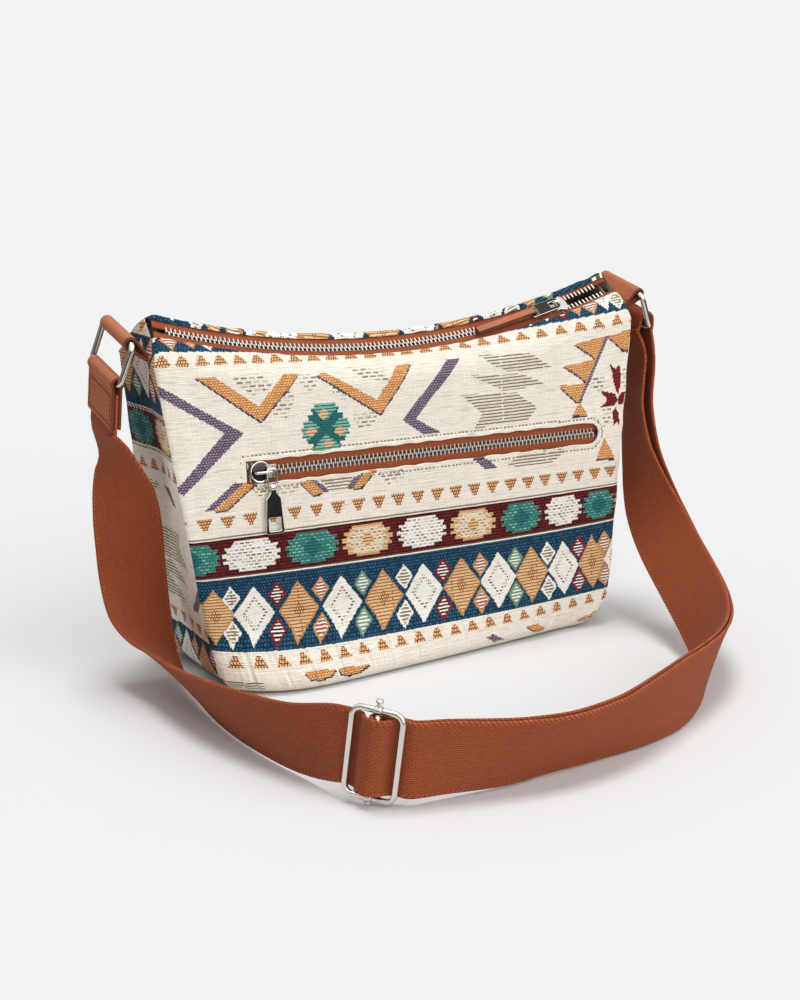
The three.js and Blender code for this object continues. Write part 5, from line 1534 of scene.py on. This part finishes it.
def alongMouth(x):
    return (zipTurnAt(x) - zipTurnAt(0)) * zipArc["radius"]


topSliderX = 112.0
pocketSliderX = -97.003
topZip = dict(
    start=alongMouth(-146.5),
    end=alongMouth(146.5),
    inset=(3.2, 3.2),
    tapeOver=3.4,
    width=5.4,
    plane=np.array((0, 1.0, 0)),
    parting=lambda x: partingAt(x - alongMouth(topSliderX)),
    place=lambda x, across, off: zipPoint(zipTurnAt(0) + x / zipArc["radius"], across, off),
)
pocketZip = dict(
    start=slotShape["left"] - 4,
    end=slotShape["right"] + 4,
    inset=(4.9, 6.4),
    tapeOver=0.0,
    width=9.0,
    plane=wallOff,
    parting=lambda x: partingAt(pocketSliderX - x),
    place=lambda x, across, off: slotMiddle
    + np.multiply.outer(x, (1.0, 0, 0))
    + np.multiply.outer(across, wallUp)
    + np.multiply.outer(off - 2.3, wallOff),
)


# One tooth in mm, gripping the cord at one end with its head past the middle line at the other
def makeTooth():
    outline = zips["toothOutline"]
    half, ease = zips["toothHalf"], zips["toothEase"]
    loop = [(x, across) for across, x in outline] + [(-x, across) for across, x in reversed(outline)]
    levels = []
    for off, shrink in ((-half, ease), (ease - half, 0), (half - ease, 0), (half, ease)):
        for x, across in loop:
            eased = across + (shrink if across < 0 else 0)
            levels.append((math.copysign(max(abs(x) - shrink, 0.1), x), eased, off))
    count = len(loop)
    faces = gridFaces(4, count, False, True)[:, ::-1].tolist()
    faces.append(list(reversed(range(count))))
    faces.append([3 * count + k for k in range(count)])
    mesh = bpy.data.meshes.new("tooth")
    mesh.from_pydata(levels, [], faces)
    return linked("tooth", mesh)


def makeTeeth(name, zipper, side, tooth, node):
    start = zipper["start"] + zipper["inset"][0] + (0 if side > 0 else zips["pitch"] / 2)
    count = int((zipper["end"] - zipper["inset"][1] - start) / zips["pitch"])
    mesh = runTree(rowTree, {"Count": count, "Pitch": zips["pitch"], "Tooth": tooth, "Finish": toothNickel})
    flat = np.empty(len(mesh.vertices) * 3)
    mesh.vertices.foreach_get("co", flat)
    x, across, off = flat.reshape(-1, 3).T
    start = start + zips["pitch"] / 2
    middle = start + np.round(x / zips["pitch"]) * zips["pitch"]
    placed = zipper["place"](start + x, side * (across + zipper["parting"](middle)), off)
    mesh.vertices.foreach_set("co", (placed * mm).ravel())
    if side < 0:
        mesh.flip_normals()
    mesh.update()
    return settle(linked(name, mesh), "bag", "nickel", node)


# Tape from under the teeth outwards, with the corded edge that the teeth grip
def makeTape(name, zipper, side, node):
    start, end = zipper["start"] - zipper["tapeOver"], zipper["end"] + zipper["tapeOver"]
    x = np.linspace(start, end, int((end - start) / 2) + 1)
    apart = zipper["parting"](x)
    share = np.linspace(0, 1, 6)
    half = zips["tapeThickness"] / 2
    inner, outer = zips["tapeInner"] + apart, zips["tapeInner"] + 0.3 + zipper["width"]
    across = inner[:, None] * (1 - share) + outer * share
    ring = np.concatenate([across, across[:, ::-1]], 1)
    rows, columns = ring.shape
    level = np.broadcast_to(np.repeat((half, -half), len(share))[None, :], ring.shape)
    points = zipper["place"](np.broadcast_to(x[:, None], ring.shape), side * ring, level).reshape(-1, 3)
    faces = gridFaces(rows, columns, False, True).tolist()
    faces += [list(range(columns)), [(rows - 1) * columns + k for k in reversed(range(columns))]]
    if side < 0:
        faces = [face[::-1] for face in faces]
    cordLine = zipper["place"](x, side * (zips["beadAt"] + apart), 0 * x)
    bead, sides = zips["beadRadius"], zips["beadSides"]
    cordPoints, cordFaces = wireAlong(cordLine, zipper["plane"], (bead, bead), sides, False)
    tape = assemble(name, [(points, faces, 0, False), (cordPoints, cordFaces, 0, True)], [tapeCloth])
    flatUv = np.stack([np.broadcast_to(x[:, None], ring.shape), ring], -1).reshape(-1, 2)
    cordUv = np.stack([np.repeat(x, sides), np.tile(np.arange(sides) * 0.5 + 30, rows)], -1)
    giveUv(tape, np.concatenate([flatUv, cordUv]))
    return settle(tape, "bag", "zip_tape", node)


def makeZips():
    tooth = makeTooth()
    for label, zipper, sides in (
        ("top", topZip, {"front": -1, "back": 1}),
        ("pocket", pocketZip, {"upper": 1, "lower": -1}),
    ):
        for edge, side in sides.items():
            makeTape(f"{label}_tape_{edge}", zipper, side, f"{label}_zip_tape_{edge}")
            makeTeeth(f"{label}_teeth_{edge}", zipper, side, tooth, f"{label}_zip_teeth_{edge}")
    bpy.data.objects.remove(tooth)


makeZips()
print("zips done")

topSlider = dict(
    half=[(-5.5, 2.6), (-5.2, 3.3), (-4.5, 3.6), (0, 3.9), (2.4, 5.35), (3.6, 5.2), (4.8, 4.0), (5.4, 2.0)],
    plates=(1.4, 2.6),
    legs=(-4.4, 1.6),
    bridge=(2.2, 6.35),
    bar=(0.55, 0.8),
    pivot=(-1.4, 4.3),
    linkLength=19.0,
    linkHalf=4.2,
    linkThickness=1.2,
    ease=0.22,
    post=(1.5, 1.25, 0.6, 3.9),
    bridgeEye=(2.62, 2.0, 0.7, -3.37),
    pullEye=(1.45, 2.9, 0.6, -16.8),
)


# Directions along the zip's arc, across its rows and off their plane
def zipAxes(turn):
    tilt = zipArc["tilt"]
    along = np.array((math.cos(turn), 0, math.sin(turn)))
    rise, level = np.array((-math.sin(turn), 0, math.cos(turn))), np.array((0, 1.0, 0))
    across = rise * math.sin(tilt) + level * math.cos(tilt)
    return along, across, rise * math.cos(tilt) - level * math.sin(tilt)


topTurn = zipTurnAt(topSliderX)
topAxes = zipAxes(topTurn)
onTopSlider = placer(zipPoint(topTurn, 0, 0), *topAxes)


def mirrored(half):
    return list(half) + [(x, -y) for x, y in reversed(half)]


# A small rounded loop at a place along the first axis
def loopAt(halfX, halfY, corner, x):
    return roundedLoop(halfX, halfY, corner, 3) + np.array((x, 0))


# Splits a plate's faces into the flat ones at a height and the eased edge
def facesByLevel(points, faces, height):
    level = [np.abs(points[face][:, 2]).min() for face in faces]
    flat = [face for face, own in zip(faces, level) if own > height]
    return flat, [face for face, own in zip(faces, level) if own <= height]


# Bridge over a slider: a bar on two legs with round shoulders
def bridgeLine(legs, floor, top, bar):
    left, right = legs[0] + bar, legs[1] - bar
    turn = 1.1
    angle = np.linspace(math.pi, math.pi / 2, 6)
    x, z = left + turn + turn * np.cos(angle), top - turn + turn * np.sin(angle)
    shoulder = np.stack([x, 0 * angle, z], -1)
    other = shoulder[::-1] * np.array((-1, 1, 1)) + np.array((left + right, 0, 0))
    return np.concatenate([[(left, 0, floor)], shoulder, other, [(right, 0, floor)]])


def makeTopSlider():
    look = topSlider
    outline = mirrored(look["half"])
    low, high = look["plates"]
    post = loopAt(*look["post"])
    parts = []
    for shape in (
        plate([outline], low, high, look["ease"]),
        plate([outline], -high, -low, look["ease"]),
        plate([post], -low, low, 0.05),
    ):
        parts.append((onTopSlider(shape[0]), shape[1], 0, False))
    arch = onTopSlider(bridgeLine(look["legs"], *look["bridge"], look["bar"][0]))
    parts.append((*wireAlong(arch, topAxes[1], look["bar"], 14, False, 0.6), 0, True))
    slider = assemble("top_slider_body", parts, [nickel])
    settle(slider, "top_slider", "nickel", "top_zip_slider")

    x, off = look["pivot"]
    onLink = placer(onTopSlider((x, 0, off)), *topAxes)
    half, length = look["linkHalf"], look["linkLength"]
    tail, corner, thick = -length - 0.75, 0.4, look["linkThickness"] / 2
    outline = [(0.75, -3.15), (0.75, 3.15), (-1.25, half), (-length - corner, half), (tail, half - corner)]
    outline += [(tail, corner - half), (-length - corner, -half), (-1.25, -half)]
    eyes = [loopAt(*look["bridgeEye"]), loopAt(*look["pullEye"])]
    points, faces = plate([outline, *eyes], -thick, thick, look["ease"])
    flat, edge = facesByLevel(points, faces, thick - 0.01)
    # The link's flat faces take the nickel with a painted dark reflection, its eased edge the plain nickel
    parts = [(onLink(points), flat, 1, False), (onLink(points), edge, 0, False)]
    link = assemble("top_pull_link", parts, [nickel, paintedReflectionNickel])
    return settle(link, "top_link", "nickel", "top_zip_link")


pocketSlider = dict(
    length=16.0,
    dome=[(6.0, -0.9), (6.2, -0.6), (6.2, 0.0), (5.9, 0.35), (5.5, 0.3), (5.2, 0.12)],
    face=[(5.25, 0.0), (5.2, 0.14), (4.4, 0.4), (3.0, 0.6), (1.4, 0.68), (0.3, 0.7)],
    domeAt=-1.8,
    neck=3.6,
    post=(1.5, 1.25, 0.6, -3.9),
    legs=(-6.4, 4.5),
    bridge=(0.1, 4.25),
    bar=(0.55, 0.8),
    pivot=(3.95, 2.35),
    linkTop=2.1,
    linkSize=(7.0, 11.0),
    wire=0.7,
    pullLength=26.0,
    pullThickness=1.6,
    pullTop=4.3,
    pullFoot=5.5,
    window=3.75,
    collar=(1.15, 2.05, 1.7),
)
onPocketSlider = placer(slotMiddle + np.array((pocketSliderX, 0, 0)), (1.0, 0, 0), wallUp, wallOff)


def makePocketSlider():
    look = pocketSlider
    parts = []
    # The dome's rim is plain nickel and its face the nickel with a painted dark reflection
    for kind, profile in enumerate((look["dome"], look["face"])):
        points, faces = turned(profile, 40)
        points = onPocketSlider(points + np.array((look["domeAt"], 0, 0)))
        parts.append((points, faces, kind, True))
    reach = look["length"] / 2
    neck = [(0.5, -look["neck"]), (reach - 0.6, -look["neck"]), (reach, 0.6 - look["neck"])]
    neck += [(x, -y) for x, y in reversed(neck)]
    under = roundedLoop(reach - 1, look["neck"] + 1, 1.5, 4)
    post = loopAt(*look["post"])
    for outline, low, high in ((neck, -0.9, 0.3), (under, -4.9, -3.7), (post, -4.3, -0.6)):
        points, faces = plate([outline], low, high, 0.2)
        parts.append((onPocketSlider(points), faces, 0, False))
    arch = onPocketSlider(bridgeLine(look["legs"], *look["bridge"], look["bar"][0]))
    parts.append((*wireAlong(arch, wallUp, look["bar"], 14, False, 0.6), 0, True))
    slider = assemble("pocket_slider_body", parts, [nickel, paintedReflectionNickel])
    settle(slider, "pocket_slider", "nickel", "pocket_zip_slider")

    x, off = look["pivot"]
    onLink = placer(onPocketSlider((x, 0, off)), (1.0, 0, 0), wallUp, wallOff)
    width, length = look["linkSize"]
    loop = roundedLoop(width / 2 - look["wire"], length / 2 - look["wire"], 1.6, 5)
    loop = onLink(np.column_stack([loop[:, 0], loop[:, 1] + look["linkTop"] - length / 2, 0 * loop[:, 0]]))
    points, faces = wireAlong(loop, wallOff, (look["wire"], look["wire"]), 12)
    settle(pieceFrom("pocket_link_wire", points, faces, nickel), "pocket_link", "nickel", "pocket_zip_link")

    onPull = placer(onLink((0, look["linkTop"] - length, 0)), (1.0, 0, 0), wallUp, wallOff)
    inner, outer, half = look["collar"]
    top, foot, tail = look["pullTop"], look["pullFoot"], -look["pullLength"]
    side = [(half, -1.5), (half, -3.0), (top - 0.3, -5.8), (top, -6.4)]
    side += [(foot, tail + 1.4), (foot - 0.5, tail + 0.3), (foot - 1.4, tail)]
    tag = [(-x, y) for x, y in side] + list(reversed(side))
    window = roundedLoop(look["window"], look["window"], 0.8, 4) + np.array((0, look["window"] + 1.6 + tail))
    thick = look["pullThickness"] / 2
    tagPoints, tagFaces = plate([tag, window], -thick, thick, 0.28)
    flat, edge = facesByLevel(tagPoints, tagFaces, thick - 0.01)
    tubePoints, tubeFaces = collar(inner, outer, half)
    tube = onPull(np.stack([tubePoints[:, 2], tubePoints[:, 1], -tubePoints[:, 0]], -1))
    tagPoints = onPull(tagPoints)
    # The tag's flat faces take the nickel with a painted dark reflection, its eased edge and collar the plain
    # nickel
    parts = [(tagPoints, flat, 1, False), (tagPoints, edge, 0, False), (tube, tubeFaces, 0, True)]
    tagPiece = assemble("pocket_pull_tag", parts, [nickel, paintedReflectionNickel])
    return settle(tagPiece, "pocket_pull", "nickel", "pocket_zip_pull")


makeTopSlider()
makePocketSlider()
print("sliders done")


def usedOnly(points, faces):
    used = sorted({k for face in faces for k in face})
    number = {k: n for n, k in enumerate(used)}
    return points[used], [[number[k] for k in face] for face in faces]


# Leather strip along a line of (x, y) places in a plane, with dark cut edges
def leatherStrip(path, place, wide, width, thickness):
    line = place(np.column_stack([path, np.zeros(len(path))]))
    tangent = unit(np.gradient(line, axis=0))
    across = np.broadcast_to(np.asarray(wide, float), line.shape)
    section = stripSection(width, thickness, 0.0)
    points, faces = stripMesh(line, across, unit(np.cross(across, tangent)), section)
    column = np.arange(len(faces)) % len(section)
    onEdge = column % (len(section) // 2) >= flatSteps
    onEdge[-2:] = True
    skin = [face for face, dark in zip(faces, onEdge) if not dark]
    rim = [face for face, dark in zip(faces, onEdge) if dark]
    return [(*usedOnly(points, skin), 0, True), (*usedOnly(points, rim), 1, True)]


def arcPath(radius, start, end, steps):
    angle = np.radians(np.linspace(start, end, steps))
    return np.stack([radius * np.cos(angle), radius * np.sin(angle)], -1)


def finer(path, step):
    run = runOf(path)
    return lineAt(path, run, np.linspace(0, run[-1], int(run[-1] / step) + 1))


stitches = dict(
    pitch=2.7,
    length=1.9,
    radius=0.34,
    profile=[(0.35, -1), (0.85, -0.8), (1, 0), (0.85, 0.8), (0.35, 1)],
)


def makeStitch():
    half, radius = stitches["length"] / 2, stitches["radius"]
    points, faces = turned([(radius * r, half * h) for r, h in stitches["profile"]], 8)
    mesh = bpy.data.meshes.new("stitch")
    mesh.from_pydata((points[:, [2, 0, 1]] * mm).tolist(), [], faces)
    mesh.shade_smooth()
    return linked("stitch", mesh)


def sewAlong(name, paths, stitch, body, finish):
    points, edges = [], []
    for path in paths:
        edges += [(len(points) + k, len(points) + k + 1) for k in range(len(path) - 1)]
        points += [tuple(point * mm) for point in np.asarray(path, float)]
    guide = bpy.data.meshes.new("guide")
    guide.from_pydata(points, edges, [])
    mesh = runTree(stitchTree, {"Pitch": stitches["pitch"] * mm, "Stitch": stitch, "Finish": finish}, guide)
    return settle(linked(name, mesh), body, "leather")


leatherTabs = dict(
    width=38.0,
    thickness=1.8,
    step=0.8,
    bend=3.05,
    tail=(-10.0, -9.0),
    part=1.25,
    seam=(4.2, 0.95),
    seamHalf=17,
    endLength=26.0,
    layer=2.1,
    boxHalf=16.2,
    boxFoot=2.6,
    boxTop=-6.5,
    pullLength=40.0,
    pullSize=(5.0, 1.3),
    pullFold=1.91,
    pullEnds=(0.99, -0.31),
    pullStep=0.7,
)


def makeLeather():
    look = leatherTabs
    stitch = makeStitch()
    for label in ("left", "right"):
        station = rings[label]
        bar = np.cross(station["out"], stationUp)
        onStation = placer(station["pivot"], station["out"], stationUp, bar)
        tailX, tailY = look["tail"]
        upper, lower = (tailX, tailY + look["part"]), (tailX, tailY - look["part"])
        around = arcPath(look["bend"], 135, -45, 15)
        path = finer(np.concatenate([[upper], around, [lower]]), look["step"])
        tab = assemble(
            label + "_leather_tab",
            leatherStrip(path, onStation, bar, look["width"], look["thickness"]),
            [leather, leatherEdge],
        )
        settle(tab, "bag", "leather", label + "_ring_tab")
        slope = unit(around[0] - np.array(upper))
        along, off = look["seam"]
        seat = np.array(upper) + slope * along + np.array((-slope[1], slope[0])) * off
        row = onStation([(*seat, z) for z in np.linspace(-look["seamHalf"], look["seamHalf"], 12)])
        sewAlong(label + "_tab_stitches", [row], stitch, "bag", stitchThread)

    station = rings["left"]
    bar = np.cross(station["out"], stationUp)
    onBar = placer(station["lowerBar"], station["out"], stationUp, bar)
    foot, layer = -look["endLength"], look["layer"]
    path = np.concatenate([[(layer, foot)], arcPath(look["bend"], -46.5, 226.5, 20), [(-layer, foot)]])
    strip = leatherStrip(finer(path, look["step"]), onBar, bar, look["width"], look["thickness"])
    endTab = assemble("strap_end_leather", strip, [leather, leatherEdge])
    settle(endTab, "left_ring", "leather", "strap_end_tab")
    half, low, high = look["boxHalf"], foot + look["boxFoot"], look["boxTop"]
    corners = [(-half, low), (half, low), (half, high), (-half, high), (-half, low)]
    rows = []
    for side in (-1, 1):
        out = side * (layer + look["thickness"] / 2 + 0.05)
        rows.append(onBar([(out, y, z) for z, y in corners]))
    sewAlong("end_tab_stitches", rows, stitch, "left_ring", stitchThread)

    # Pull of the top zip: a narrow strip folded round the end of the link
    x, off = topSlider["pivot"]
    linkEnd = x - topSlider["linkLength"]
    reach, fold = look["pullLength"], look["pullFold"]
    middle, end = look["pullEnds"]
    under, upper = [(-reach, -fold), (-reach / 2, -fold)], [(-reach / 2, middle), (-reach, end)]
    path = finer(np.concatenate([under, arcPath(fold, -90, 90, 13), upper]), look["pullStep"])
    rise = ((linkEnd + np.minimum(path[:, 0], 0)) ** 2 - linkEnd**2) / (2 * zipArc["radius"])
    path = np.stack([linkEnd + path[:, 0], off + path[:, 1] + rise], -1)
    onPull = placer(onTopSlider((0, 0, 0)), topAxes[0], topAxes[2], -topAxes[1])
    strip = leatherStrip(path, onPull, -topAxes[1], *look["pullSize"])
    pull = assemble("top_pull_leather", strip, [leather, leatherEdge])
    settle(pull, "top_pull", "leather", "top_zip_pull")
    bpy.data.objects.remove(stitch)


makeLeather()
print("leather done")

for nodeName in ("lining", "pocket_bag"):
    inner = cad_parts[nodeName].data
    inner.materials.clear()
    inner.materials.append(liningCloth)
